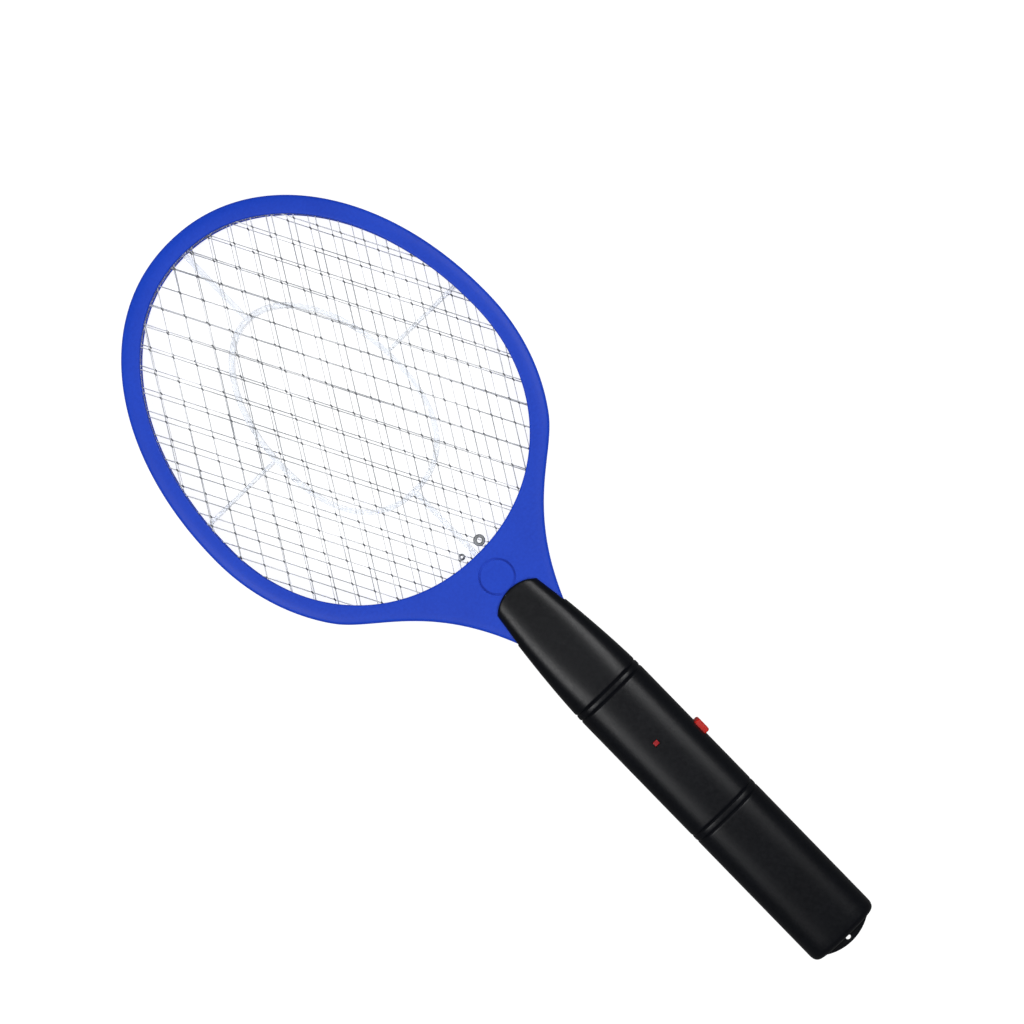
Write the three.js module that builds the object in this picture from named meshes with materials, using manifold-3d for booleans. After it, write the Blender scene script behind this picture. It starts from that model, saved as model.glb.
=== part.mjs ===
// Electric fly swatter: a racket head with three metal grids on a hollow battery handle.
// Millimetres. +X is the push-button side, +Y runs to the tip of the head, +Z is the front.
// The origin is under the middle of the swatter, level with the back of the handle.
import * as THREE from "three";
import { mergeVertices } from "three/addons/utils/BufferGeometryUtils.js";
import Module from "manifold-3d";

const wasm = await Module();
wasm.setup();

// ---------------------------------------------------------------- driving dimensions
const LENGTH = 440;
const MID = 14; // height of the parting plane, half the handle's thickness
const GAP = 0.3; // clearance between touching pieces
const SEAM = 0.15; // half the gap along the parting plane

// Places along the swatter are stations: the distance from the tip of the head.
const along = (station) => LENGTH / 2 - station;

// The eggs of the head: how far each reaches above and below its widest line, and how full it is there.
const RIM = { centre: 116.4, halfWidth: 85.8, top: 116.4, bottom: 93, topPower: 2.09, bottomPower: 2.03 };
const OPENING = { centre: 116.4, halfWidth: 77.5, top: 108, bottom: 80.7, topPower: 2.08, bottomPower: 2.09 };
const INNER_EGG = { centre: 108, halfWidth: 35, top: 58, bottom: 49, topPower: 2, bottomPower: 2.3 };
const REAR_OPENING_GROW = 0.7; // the rear frame's opening is this much larger all round

const HEAD = { halfThickness: 7, lip: 2, pocket: 3, edgeRound: 1.6, tailHalfWidth: 10, tailEnd: 262 };
const NECK = { from: 174, fromHalf: 67.86, to: 239.2, toHalf: 14.2 };
const NECK_PULL = { upper: { station: 189.25, half: 56.92 }, lower: { station: 196.68, half: 31.43 } };
const RING_MARK = { station: 210.5, radius: 8, width: 0.7, depth: 0.4 };

const GRID = { thickness: 0.6, overlap: 2.5, border: 1.3, strandX: 1.56, strandY: 2.73, turn: -1.65 };
const GRID_OFFSET = 4.4; // from the middle grid's mid plane to the outer ones'
// Each sheet's diamonds, and the place of one strand crossing from the middle of the head.
const REAR_LATTICE = { cellWidth: 21.18, cellLength: 37.58, x: 4.89, y: 4.02 };
const MIDDLE_LATTICE = { cellWidth: 22.06, cellLength: 38.76, x: 5.94, y: -0.14 };
const FRONT_LATTICE = { cellWidth: 21.98, cellLength: 38.6, x: 6.02, y: -0.47 };
const SPACER = { low: 0.6, high: 3.8, inner: 1, outer: 2.6, band: 2.5 };
const SPOKE = { width: 1.4, endWidth: 2.4, station: 103.3 };
const RIVET = { x: 5.6, station: 193.2, flange: 2.7, shank: 1.8, bore: 1.2, flangeThickness: 0.6 };

const HANDLE = { halfWidth: 18.4, halfDepth: 14, wall: 2, power: 2.9, neckPower: 4.3, taperEnd: 286, end: 435 };
// What the handle loses towards the neck: an amount at a length from the grip, along a power curve.
const SLIM_WIDTH = { by: 5.4, over: 62, curve: 1.6 };
const SLIM_DEPTH = { by: 4, over: 67, curve: 1.5 };
const SQUARING_LENGTH = 46;
const STATIONS = [224, 232, 239.5, 250, 262, 273]; // sections through the slimming part
const MOUTH = 239.5; // where the two shells close round the neck
const END_WALL = 2.5;
const TONGUE = { apex: 218.25, corner: 223.9, halfWidth: 12 };
const GROOVES = [280.5, 283.75, 355.5, 358.9];
const GROOVE = { halfWidth: 0.7, depth: 0.7 };
const END_ROUND = { from: 432, size: 2.2 };
const LUG = { end: 440, halfWidth: 15.4, root: 434.5, low: 12.6, high: 15.6, hole: 1.3, holeStation: 437.75 };

const DOOR = { from: 362.3, top: 7.85, lipTop: 10.5, lipInset: 2.3, innerInset: 3.5 };
const CELL = { x: 7.55, z: 12.8, radius: 7.1, length: 49.5, nubRadius: 2.7, nub: 1, start: 374 };
const CELL_WALL = { from: 371.5, to: 373 };

// Screws go in from behind. Each pair's sink, head face and tip are heights.
const SCREW = { shank: 1.3, hole: 1.6, head: 2.6, recess: 2.9, headHeight: 1.8, boss: 3.9 };
const NECK_SCREWS = { x: 16, station: 206, sink: 9.2, headFace: 7.2, tip: 17.6 };
const UPPER_SCREWS = { x: 6.6, station: 252, sink: 4.6, headFace: 2.5, tip: 23.8 };
const LOWER_SCREWS = { x: 12, station: 350, sink: 5, headFace: 2.9, tip: 21.6 };

const BOARD = { left: -13.5, right: 10.4, from: 290, to: 344, low: 8.6, high: 10.2 };
const BOARD_SCREWS = [
  { name: "board_screw_front", x: 8, station: 294 },
  { name: "board_screw_rear", x: -9, station: 341 },
];
const ON_BOARD = BOARD.high + GAP;
const TRANSFORMER = { x: -3.5, station: 331, z: ON_BOARD + 5 };
const FILM_CAPACITOR = { halfX: 3, from: 298.5, to: 309, height: 8.5 };
const FILTER_CAPACITOR = { x: 6.6, station: 306, radius: 3, height: 8 };
const TRANSISTOR = { x: 6.6, station: 338.5, radius: 2.4, low: 2, high: 6.6, legPitch: 1.3 };
const DIODE = { radius: 1.3, length: 4.6, pitch: 9, places: [[-11, 300], [-7.2, 300], [-7.2, 318]] };
const RESISTOR = { radius: 1, length: 5, pitch: 8.4, places: [[-11, 314], [4, 314.5]] };

const BUTTON = { station: 322.75, halfLength: 3.6, halfHeight: 6, out: 20.6, flangeFrom: 12.8, flangeTo: 14.8 };
const BUTTON_SPRING = { radius: 2.1, wire: 0.3, length: 4.8, turns: 4, from: 7 };
const CELL_SPRING = { radius: 3, wire: 0.45, length: 6.6, turns: 3 };
const LED = { x: -0.8, station: 313, halfX: 1.25, halfY: 1.1, low: 23.4, high: 28 };

// Leads follow points given as [x, station, z].
const LEAD = { radius: 0.65, channel: 1.5 };
const FRONT_LEAD = [
  [5.6, 196.4, 16.4], [5.6, 200, 16], [4.2, 210, MID], [2.6, 222, MID],
  [2.6, 262, MID], [3, 276, 13], [4, 287, 11.2], [4, 293, 11.2],
];
const MIDDLE_LEAD = [
  [0, 199.9, MID], [0, 230, MID], [0, 262, MID],
  [0, 276, 13], [0, 287, 11.2], [0, 293, 11.2],
];
const REAR_LEAD = [
  [-5.6, 196.4, 11.6], [-5.6, 200, 12], [-4.2, 210, MID], [-2.6, 222, MID],
  [-2.6, 262, MID], [-3, 276, 13], [-4, 287, 11.2], [-4, 293, 11.2],
];
const PLUS_LEAD = [[-7.55, 372.8, 19.8], [-7.55, 366, 19.5], [-6, 356, 17], [-5, 348, 12.5], [-5, 341, 11.2]];
const MINUS_LEAD = [[7.55, 372.8, 19.8], [7.55, 366, 19.5], [7, 356, 17], [3, 348, 12.5], [2, 341, 11.2]];

// ---------------------------------------------------------------- solids
function solid(geometry) {
  const bare = geometry.index ? geometry.toNonIndexed() : geometry.clone();
  bare.deleteAttribute("normal");
  bare.deleteAttribute("uv");
  const merged = mergeVertices(bare, 1e-4);
  const vertProperties = merged.attributes.position.array;
  const triVerts = new Uint32Array(merged.index.array);
  return new wasm.Manifold(new wasm.Mesh({ numProp: 3, vertProperties, triVerts }));
}

const join = (...pieces) => pieces.reduce((whole, piece) => whole.add(piece));
const cut = (whole, ...tools) => tools.reduce((rest, tool) => rest.subtract(tool), whole);

// An outline in the X-Y plane, raised from one height to another.
function plate(shape, low, high, curveSegments = 12) {
  const depth = high - low;
  const geometry = new THREE.ExtrudeGeometry(shape, { depth, bevelEnabled: false, curveSegments });
  return solid(geometry.translate(0, 0, low));
}

// A box between two X values, two stations and two heights.
function block([left, right], [front, back], [low, high]) {
  const geometry = new THREE.BoxGeometry(right - left, back - front, high - low);
  return solid(geometry.translate((left + right) / 2, along((front + back) / 2), (low + high) / 2));
}

// A straight round bar that stands at a place and runs up +Z.
function post(x, station, radius, low, high, sides = 12) {
  const geometry = new THREE.CylinderGeometry(radius, radius, high - low, sides).rotateX(Math.PI / 2);
  return solid(geometry.translate(x, along(station), (low + high) / 2));
}

// A turned piece whose profile of [radius, distance] pairs runs along the swatter towards the handle end.
function turnedAlong(profile, x, station, z, sides = 14) {
  const points = profile.map(([radius, distance]) => new THREE.Vector2(radius, -distance)).reverse();
  return solid(new THREE.LatheGeometry(points, sides).translate(x, along(station), z));
}

// A closed skin over a row of rings that have the same number of points.
function loft(rings) {
  const count = rings[0].length;
  const positions = [];
  const face = (...corners) => corners.forEach((corner) => positions.push(corner.x, corner.y, corner.z));
  for (let ring = 0; ring < rings.length - 1; ring++) {
    for (let i = 0; i < count; i++) {
      const next = (i + 1) % count;
      face(rings[ring][i], rings[ring][next], rings[ring + 1][next]);
      face(rings[ring][i], rings[ring + 1][next], rings[ring + 1][i]);
    }
  }
  const first = rings[0];
  const last = rings[rings.length - 1];
  for (let i = 1; i < count - 1; i++) {
    face(first[0], first[i + 1], first[i]);
    face(last[0], last[i], last[i + 1]);
  }
  const geometry = new THREE.BufferGeometry();
  geometry.setAttribute("position", new THREE.Float32BufferAttribute(positions, 3));
  return solid(geometry);
}

function regularShape(radius, sides) {
  return new THREE.Shape(Array.from({ length: sides }, (_, i) => {
    const angle = (i / sides) * 2 * Math.PI;
    return new THREE.Vector2(radius * Math.cos(angle), radius * Math.sin(angle));
  }));
}

// A round wire through points given as [x, station, z].
function wire(route, radius, steps, sides = 6) {
  const points = route.map(([x, station, z]) => new THREE.Vector3(x, along(station), z));
  const curve = new THREE.CatmullRomCurve3(points);
  const section = regularShape(radius, sides);
  return solid(new THREE.ExtrudeGeometry(section, { steps, extrudePath: curve, bevelEnabled: false }));
}

// A compression coil that starts at the origin and runs up +Z.
function coil({ radius, wire: wireRadius, length, turns }) {
  const stepsPerTurn = 8;
  const sides = 4;
  const steps = turns * stepsPerTurn;
  const points = [];
  for (let i = 0; i <= steps; i++) {
    const angle = (i / stepsPerTurn) * 2 * Math.PI;
    const z = wireRadius + ((length - 2 * wireRadius) * i) / steps;
    points.push(new THREE.Vector3(radius * Math.cos(angle), radius * Math.sin(angle), z));
  }
  const section = regularShape(wireRadius, sides);
  const extrudePath = new THREE.CatmullRomCurve3(points);
  return new THREE.ExtrudeGeometry(section, { steps, extrudePath, bevelEnabled: false });
}

// ---------------------------------------------------------------- outlines
const power = (value, exponent) => Math.sign(value) * Math.abs(value) ** exponent;

// A point on an egg: a superellipse with its own height and fullness above and below the widest line.
function eggPoint(egg, grow, angle) {
  const upper = Math.sin(angle) >= 0;
  const height = (upper ? egg.top : egg.bottom) + grow;
  const fullness = 2 / (upper ? egg.topPower : egg.bottomPower);
  const x = (egg.halfWidth + grow) * power(Math.cos(angle), fullness);
  return new THREE.Vector2(x, along(egg.centre) + height * power(Math.sin(angle), fullness));
}

function eggOutline(egg, grow = 0, steps = 48) {
  const points = Array.from({ length: steps }, (_, i) => eggPoint(egg, grow, (i / steps) * 2 * Math.PI));
  return new THREE.Shape(points);
}

// The rim, swept down on both sides into the neck, with a narrow tail that goes into the handle.
function headOutline() {
  const depth = (NECK.from - RIM.centre) / RIM.bottom;
  const start = Math.asin(depth ** (RIM.bottomPower / 2));
  const steps = 44;
  const shape = new THREE.Shape();
  shape.moveTo(NECK.fromHalf, along(NECK.from));
  for (let i = 1; i < steps; i++) {
    const point = eggPoint(RIM, 0, -start + ((Math.PI + 2 * start) * i) / steps);
    shape.lineTo(point.x, point.y);
  }
  shape.lineTo(-NECK.fromHalf, along(NECK.from));
  const { upper, lower } = NECK_PULL;
  const upperY = along(upper.station);
  const lowerY = along(lower.station);
  shape.bezierCurveTo(-upper.half, upperY, -lower.half, lowerY, -NECK.toHalf, along(NECK.to));
  shape.lineTo(-HEAD.tailHalfWidth, along(NECK.to));
  shape.lineTo(-HEAD.tailHalfWidth, along(HEAD.tailEnd));
  shape.lineTo(HEAD.tailHalfWidth, along(HEAD.tailEnd));
  shape.lineTo(HEAD.tailHalfWidth, along(NECK.to));
  shape.lineTo(NECK.toHalf, along(NECK.to));
  shape.bezierCurveTo(lower.half, lowerY, upper.half, upperY, NECK.fromHalf, along(NECK.from));
  return shape;
}

// ---------------------------------------------------------------- head
const leadChannels = [FRONT_LEAD, MIDDLE_LEAD, REAR_LEAD].map((route) => wire(route, LEAD.channel, 12, 4));

// Screws in pairs, left and right of the middle.
const bothSides = (make) => join(make(-1), make(1));

function headBlank() {
  const depth = 2 * (HEAD.halfThickness - HEAD.edgeRound);
  const geometry = new THREE.ExtrudeGeometry(headOutline(), {
    depth,
    bevelThickness: HEAD.edgeRound,
    bevelSize: HEAD.edgeRound,
    bevelOffset: -HEAD.edgeRound,
    bevelSegments: 1,
    curveSegments: 8,
  });
  return solid(geometry.translate(0, 0, MID - depth / 2));
}

// Both head frames at once, with their openings, the pocket for the grids and ways for leads and screws.
function headPair() {
  const { halfThickness: half, lip, pocket } = HEAD;
  const frontOpening = plate(eggOutline(OPENING), MID, MID + half + 1);
  const rearOpening = plate(eggOutline(OPENING, REAR_OPENING_GROW), MID - half - 1, MID);
  const recess = plate(eggOutline(OPENING, pocket), MID - half + lip, MID + half - lip);
  const tailHoles = bothSides((side) => {
    return post(side * UPPER_SCREWS.x, UPPER_SCREWS.station, SCREW.hole, 0, 2 * MID);
  });
  const neckHoles = bothSides((side) => {
    const { x, station, sink, tip } = NECK_SCREWS;
    return join(
      post(side * x, station, SCREW.hole, sink - 1, tip + 0.4),
      post(side * x, station, SCREW.recess, MID - half - 1, sink),
    );
  });
  return cut(headBlank(), frontOpening, rearOpening, recess, tailHoles, neckHoles, ...leadChannels);
}

const FAR = 600;
const above = (height) => block([-FAR, FAR], [-FAR, FAR], [height, FAR]);
const below = (height) => block([-FAR, FAR], [-FAR, FAR], [-FAR, height]);

// A plain ring sunk into the front of the neck.
function ringMark() {
  const { station, radius, width, depth } = RING_MARK;
  const top = MID + HEAD.halfThickness;
  const outer = post(0, station, radius + width / 2, top - depth, top + 1, 28);
  return outer.subtract(post(0, station, radius - width / 2, top - depth - 1, top + 2, 28));
}

// Expanded metal: a sheet the shape of the opening with a staggered lattice of diamond holes.
function grid(layer, lattice) {
  const height = MID + layer * GRID_OFFSET;
  const sheetLow = height - GRID.thickness / 2;
  const sheetHigh = height + GRID.thickness / 2;
  const openArea = plate(eggOutline(OPENING, GRID.overlap - GRID.border), sheetLow - 1, sheetHigh + 1);
  const { cellWidth, cellLength } = lattice;
  const halfX = (cellWidth - GRID.strandX) / 2;
  const halfY = (cellLength - GRID.strandY) / 2;
  const corners = [[halfX, 0], [0, halfY], [-halfX, 0], [0, -halfY]];
  const turn = THREE.MathUtils.degToRad(GRID.turn);
  const noTurn = new THREE.Vector2();
  const crossing = new THREE.Vector2(lattice.x, along(RIM.centre) + lattice.y);
  const diamonds = [];
  for (let row = -6; row <= 6; row++) {
    for (let column = -5; column <= 4; column++) {
      const x = (column + 0.5 + (row % 2) / 2) * cellWidth;
      const y = (row / 2) * cellLength;
      if (Math.hypot(x / OPENING.halfWidth, y / OPENING.top) > 1) continue;
      diamonds.push(new THREE.Shape(corners.map(([dx, dy]) => {
        return new THREE.Vector2(x + dx, y + dy).rotateAround(noTurn, turn).add(crossing);
      })));
    }
  }
  const holes = plate(diamonds, sheetLow - 2, sheetHigh + 2).intersect(openArea);
  const sheet = cut(plate(eggOutline(OPENING, GRID.overlap), sheetLow, sheetHigh), holes);
  if (layer === 0) return sheet;
  return sheet.subtract(post(layer * RIVET.x, RIVET.station, RIVET.shank + GAP, sheetLow - 1, sheetHigh + 1));
}

// The insulating spacer between two grids: an outer ring, an egg ring and four spokes.
function spacer(layer) {
  const [low, high] = layer > 0
    ? [MID + SPACER.low, MID + SPACER.high]
    : [MID - SPACER.high, MID - SPACER.low];
  const { band } = SPACER;
  const { width, endWidth, station } = SPOKE;
  const { centre, top, bottom } = INNER_EGG;
  const ring = (egg, inner, outer) => {
    const hole = plate(eggOutline(egg, inner), low - 1, high + 1);
    return plate(eggOutline(egg, outer), low, high).subtract(hole);
  };
  const innerRing = ring(INNER_EGG, -band / 2, band / 2);
  const outerRing = ring(OPENING, SPACER.inner, SPACER.outer);
  const spokeEnd = (SPACER.inner + SPACER.outer) / 2;
  const side = (sign) => {
    const ends = [sign * INNER_EGG.halfWidth, sign * (OPENING.halfWidth + spokeEnd)].sort((a, b) => a - b);
    return block(ends, [station - width / 2, station + width / 2], [low, high]);
  };
  const across = [-endWidth / 2, endWidth / 2];
  const tipSpoke = block(across, [OPENING.centre - OPENING.top - spokeEnd, centre - top], [low, high]);
  const neckSpoke = block(across, [centre + bottom, OPENING.centre + OPENING.bottom + spokeEnd], [low, high]);
  return cut(join(innerRing, outerRing, bothSides(side), tipSpoke, neckSpoke), ...leadChannels);
}

// The hollow rivet that clamps a lead's end to an outer grid.
function gridRivet(layer) {
  const { x, station, flange, shank, bore, flangeThickness } = RIVET;
  const height = MID + layer * GRID_OFFSET;
  const clear = GRID.thickness / 2 + 0.2;
  const half = flangeThickness / 2;
  const washer = (centre) => post(layer * x, station, flange, centre - half, centre + half);
  const reach = clear + half;
  const body = join(
    post(layer * x, station, shank, height - reach, height + reach),
    washer(height - reach),
    washer(height + reach),
  );
  return body.subtract(post(layer * x, station, bore, height - 3, height + 3));
}

// ---------------------------------------------------------------- handle
const slimming = ({ by, over, curve }, taper) => by * (taper / over) ** curve;

// The handle swells from the neck to a straight grip, then rounds over at its end.
function handleSize(station) {
  const taper = Math.max(0, HANDLE.taperEnd - station);
  const endTurn = Math.min(1, Math.max(0, (station - END_ROUND.from) / (HANDLE.end - END_ROUND.from)));
  const rounding = END_ROUND.size * (1 - Math.sqrt(1 - endTurn ** 2));
  return {
    halfWidth: HANDLE.halfWidth - slimming(SLIM_WIDTH, taper) - rounding,
    halfDepth: HANDLE.halfDepth - slimming(SLIM_DEPTH, taper) - rounding,
    fullness: HANDLE.power + (HANDLE.neckPower - HANDLE.power) * Math.min(1, taper / SQUARING_LENGTH),
  };
}

// One oval ring of the handle, with a true flat at its front, back and sides.
function handleRing(station, inset) {
  const { halfWidth, halfDepth, fullness } = handleSize(station);
  const count = 32;
  const reach = Math.cos(Math.PI / count) ** (2 / fullness);
  return Array.from({ length: count }, (_, i) => {
    const angle = ((i + 0.5) / count) * 2 * Math.PI;
    const x = ((halfWidth - inset) * power(Math.cos(angle), 2 / fullness)) / reach;
    const z = ((halfDepth - inset) * power(Math.sin(angle), 2 / fullness)) / reach;
    return new THREE.Vector3(x, along(station), MID + z);
  });
}

function handleBody() {
  const rings = [[TONGUE.apex - 1, 0], ...STATIONS.map((station) => [station, 0])];
  for (const groove of GROOVES) {
    rings.push([groove - GROOVE.halfWidth, 0], [groove, GROOVE.depth], [groove + GROOVE.halfWidth, 0]);
  }
  rings.push([END_ROUND.from, 0], [433, 0], [434.3, 0], [HANDLE.end, 0]);
  return loft(rings.map(([station, inset]) => handleRing(station, inset)));
}

// The space inside the handle's wall, or a smaller copy of it.
function handleHollow(inset, from, to) {
  const inner = STATIONS.filter((station) => station > from && station < to);
  const rest = [HANDLE.taperEnd, END_ROUND.from].filter((station) => station > from && station < to);
  return loft([from, ...inner, ...rest, to].map((station) => handleRing(station, inset)));
}

// The tongue that laps over the neck, seen from the front: one flat arc with two rounded corners.
function tonguePlan() {
  const { apex, corner, halfWidth } = TONGUE;
  const shape = new THREE.Shape();
  shape.moveTo(-HANDLE.halfWidth, along(MOUTH + 1));
  shape.lineTo(-HANDLE.halfWidth, along(corner + 2.4));
  shape.lineTo(-halfWidth - 0.9, along(corner + 2.4));
  shape.quadraticCurveTo(-halfWidth - 0.4, along(corner), -halfWidth + 2.2, along(corner - 1.9));
  shape.quadraticCurveTo(-halfWidth / 2, along(apex), 0, along(apex));
  shape.quadraticCurveTo(halfWidth / 2, along(apex), halfWidth - 2.2, along(corner - 1.9));
  shape.quadraticCurveTo(halfWidth + 0.4, along(corner), halfWidth + 0.9, along(corner + 2.4));
  shape.lineTo(HANDLE.halfWidth, along(corner + 2.4));
  shape.lineTo(HANDLE.halfWidth, along(MOUTH + 1));
  return shape;
}

const FULL_WIDTH = [-30, 30];
const NECK_CLEAR = HEAD.halfThickness + GAP;
const body = handleBody();
const hollow = handleHollow(HANDLE.wall, MOUTH + HANDLE.wall, HANDLE.end - END_WALL);
const tailSlot = block(
  [-HEAD.tailHalfWidth - GAP, HEAD.tailHalfWidth + GAP],
  [MOUTH - 1, MOUTH + HANDLE.wall + 1],
  [MID - NECK_CLEAR, MID + NECK_CLEAR],
);
const buttonSlot = block(
  [10, 30],
  [BUTTON.station - BUTTON.halfLength - GAP, BUTTON.station + BUTTON.halfLength + GAP],
  [MID - BUTTON.halfHeight - GAP, MID + BUTTON.halfHeight + GAP],
);

// One half of the handle: its tongue over the neck, and everything behind the mouth.
function halfShell(side) {
  const tongue = side > 0
    ? plate(tonguePlan(), MID + NECK_CLEAR, FAR)
    : plate(tonguePlan(), -FAR, MID - NECK_CLEAR);
  const barrelSpan = side > 0 ? [MID + SEAM, FAR] : [-FAR, MID - SEAM];
  const barrel = block(FULL_WIDTH, [MOUTH, FAR], barrelSpan);
  return cut(body.intersect(join(tongue, barrel)), hollow, tailSlot, buttonSlot);
}

// The flat tab at the end of the handle, with a hole for a hanging cord.
function lanyardLug() {
  const { end, halfWidth, root, low, high, hole, holeStation } = LUG;
  const rise = end - root;
  const radius = (halfWidth ** 2 + rise ** 2) / (2 * rise);
  const sweep = Math.asin(halfWidth / radius);
  const shape = new THREE.Shape();
  shape.moveTo(-halfWidth, along(HANDLE.end - 1.5));
  shape.absarc(0, along(end - radius), radius, -Math.PI / 2 - sweep, -Math.PI / 2 + sweep, false);
  shape.lineTo(halfWidth, along(HANDLE.end - 1.5));
  const behind = block(FULL_WIDTH, [HANDLE.end + GAP, end + 1], [0, 2 * MID]);
  const tab = plate(shape, low, high).intersect(behind);
  const anchor = plate(shape, MID + SEAM, high);
  return join(tab, anchor).subtract(post(0, holeStation, hole, 0, 28));
}

// The wall between the electronics and the battery cells, with holes for two leads.
function cellWall() {
  const { from, to } = CELL_WALL;
  const upper = block(FULL_WIDTH, [from, to], [MID + SEAM, 27]).intersect(handleHollow(1, 300, 420));
  const lower = block([-10.8, 10.8], [from, to], [5.5, MID + 1]);
  return join(upper, lower);
}

function handleFrontShell() {
  const bosses = join(
    bothSides((side) => post(side * UPPER_SCREWS.x, UPPER_SCREWS.station, SCREW.boss, MID + NECK_CLEAR, 25)),
    bothSides((side) => post(side * LOWER_SCREWS.x, LOWER_SCREWS.station, SCREW.boss, MID + SEAM, 24.6)),
  );
  const pilots = join(
    bothSides((side) => post(side * UPPER_SCREWS.x, UPPER_SCREWS.station, SCREW.hole, 10, 24.2)),
    bothSides((side) => post(side * LOWER_SCREWS.x, LOWER_SCREWS.station, SCREW.hole, 10, 22)),
  );
  const ledHole = block(
    [LED.x - LED.halfX - GAP, LED.x + LED.halfX + GAP],
    [LED.station - LED.halfY - GAP, LED.station + LED.halfY + GAP],
    [20, 30],
  );
  const leadHoles = bothSides((side) => {
    const across = [side * CELL.x - 1.2, side * CELL.x + 1.2];
    return block(across, [CELL_WALL.from - 1, CELL_WALL.to + 1], [18.6, 21]);
  });
  return cut(join(halfShell(1), bosses, cellWall(), lanyardLug()), pilots, ledHole, leadHoles);
}

// A hole for a screw from behind, with a round sink for its head.
function screwWay(side, { x, station, sink }) {
  return join(post(side * x, station, SCREW.hole, -1, MID), post(side * x, station, SCREW.recess, -1, sink));
}

function handleRearShell() {
  const bosses = join(
    bothSides((side) => post(side * UPPER_SCREWS.x, UPPER_SCREWS.station, SCREW.boss, 2.6, MID - NECK_CLEAR)),
    bothSides((side) => post(side * LOWER_SCREWS.x, LOWER_SCREWS.station, SCREW.boss, 3.4, MID - SEAM)),
    ...BOARD_SCREWS.map(({ x, station }) => post(x, station, 2.6, 1.6, BOARD.low - GAP)),
  );
  const ways = join(
    bothSides((side) => screwWay(side, UPPER_SCREWS)),
    bothSides((side) => screwWay(side, LOWER_SCREWS)),
    ...BOARD_SCREWS.map(({ x, station }) => post(x, station, 1.1, 4.3, MID)),
  );
  const doorway = block(FULL_WIDTH, [DOOR.from - GAP, FAR], [-FAR, DOOR.top + GAP]);
  const lipWays = bothSides((side) => {
    const span = [side * 11, side * 19].sort((a, b) => a - b);
    return block(span, [HANDLE.end - 5, HANDLE.end + 1], [DOOR.top, DOOR.lipTop + 0.4]);
  });
  return cut(join(halfShell(-1), bosses), ways, doorway, lipWays);
}

// The sliding cover over the cells, with a lip along each side and a catch at its front edge.
function batteryDoor() {
  const { from, top, lipTop, lipInset, innerInset } = DOOR;
  const inner = handleHollow(innerInset, from - 1, HANDLE.end - END_WALL);
  const skin = body.intersect(block(FULL_WIDTH, [from, FAR], [-FAR, top]));
  const lipBand = block(FULL_WIDTH, [from, FAR], [top - 1, lipTop]);
  const lips = handleHollow(lipInset, from + 2, HANDLE.end - 5).intersect(lipBand);
  const latch = block([-5, 5], [from - 4.8, from + 3], [2.5, 3.9]);
  return join(cut(join(skin, lips), inner), latch);
}

// A pan-head screw that goes in from behind, on one side of the middle.
function screw(side, { x: fromMiddle, station, headFace, tip }) {
  const x = side * fromMiddle;
  const head = post(x, station, SCREW.head, headFace, headFace + SCREW.headHeight);
  const shank = post(x, station, SCREW.shank, headFace + 1, tip, 10);
  const slot = block([x - 2, x + 2], [station - 0.35, station + 0.35], [headFace - 1, headFace + 0.7]);
  return join(head, shank).subtract(slot);
}

// ---------------------------------------------------------------- battery cells and contacts
// A cell's profile from its flat end to its nub.
function batteryCell() {
  const { radius, length, nubRadius, nub } = CELL;
  return [[0, 0], [radius - 0.5, 0], [radius, 0.5], [radius, length - 0.6], [radius - 0.8, length],
    [nubRadius, length], [nubRadius, length + nub], [0, length + nub]];
}

// The left cell points to the head and the right one to the handle's end.
function cell(side) {
  const whole = CELL.length + CELL.nub;
  const spring = CELL_SPRING.length + GAP;
  const flipped = batteryCell().map(([radius, distance]) => [radius, whole - distance]).reverse();
  return side < 0
    ? turnedAlong(flipped, -CELL.x, CELL.start, CELL.z)
    : turnedAlong(batteryCell(), CELL.x, CELL.start + spring, CELL.z);
}

function cellSpring(side) {
  const start = side < 0 ? CELL.start + CELL.length + CELL.nub + GAP : CELL.start;
  const geometry = coil(CELL_SPRING).rotateX(Math.PI / 2);
  return solid(geometry.translate(side * CELL.x, along(start), CELL.z));
}

function contactPlate(side) {
  const x = side * CELL.x;
  const from = CELL_WALL.to + GAP;
  const face = block([x - 5.5, x + 5.5], [from, from + 0.4], [CELL.z - 5.5, CELL.z + 5.5]);
  const tab = block([x - 1.5, x + 1.5], [from, from + 0.4], [CELL.z + 5, 21]);
  return join(face, tab);
}

function bridgePlate() {
  const from = CELL.start + CELL.length + CELL.nub + CELL_SPRING.length + 2 * GAP;
  return block([-13.2, 13.2], [from, from + 0.4], [CELL.z - 4.6, CELL.z + 5.5]);
}

// ---------------------------------------------------------------- circuit board and what stands on it
function circuitBoard() {
  const sheet = block([BOARD.left, BOARD.right], [BOARD.from, BOARD.to], [BOARD.low, BOARD.high]);
  return cut(sheet, ...BOARD_SCREWS.map(({ x, station }) => post(x, station, 1.1, 0, 20, 10)));
}

function boardScrew({ x, station }) {
  const shank = post(x, station, 0.8, 4.6, ON_BOARD + 0.5, 8);
  const head = post(x, station, 2.1, ON_BOARD, ON_BOARD + 1.4);
  return join(shank, head);
}

// A box round the transformer's centre, given by half sizes.
function aroundTransformer(halfX, halfY, halfZ, dx = 0, dy = 0) {
  const x = TRANSFORMER.x + dx;
  const station = TRANSFORMER.station + dy;
  const { z } = TRANSFORMER;
  return block([x - halfX, x + halfX], [station - halfY, station + halfY], [z - halfZ, z + halfZ]);
}

function transformerCore() {
  const window = (side) => aroundTransformer(2, 4.5, 4, side * 4);
  return cut(aroundTransformer(7.5, 6.5, 2.5), window(-1), window(1));
}

function transformerBobbin() {
  const flange = (side) => aroundTransformer(5.6, 0.3, 5, 0, side * 3.8);
  return cut(join(aroundTransformer(2.9, 4, 3.4), flange(-1), flange(1)), aroundTransformer(2.3, 5, 2.8));
}

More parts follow.
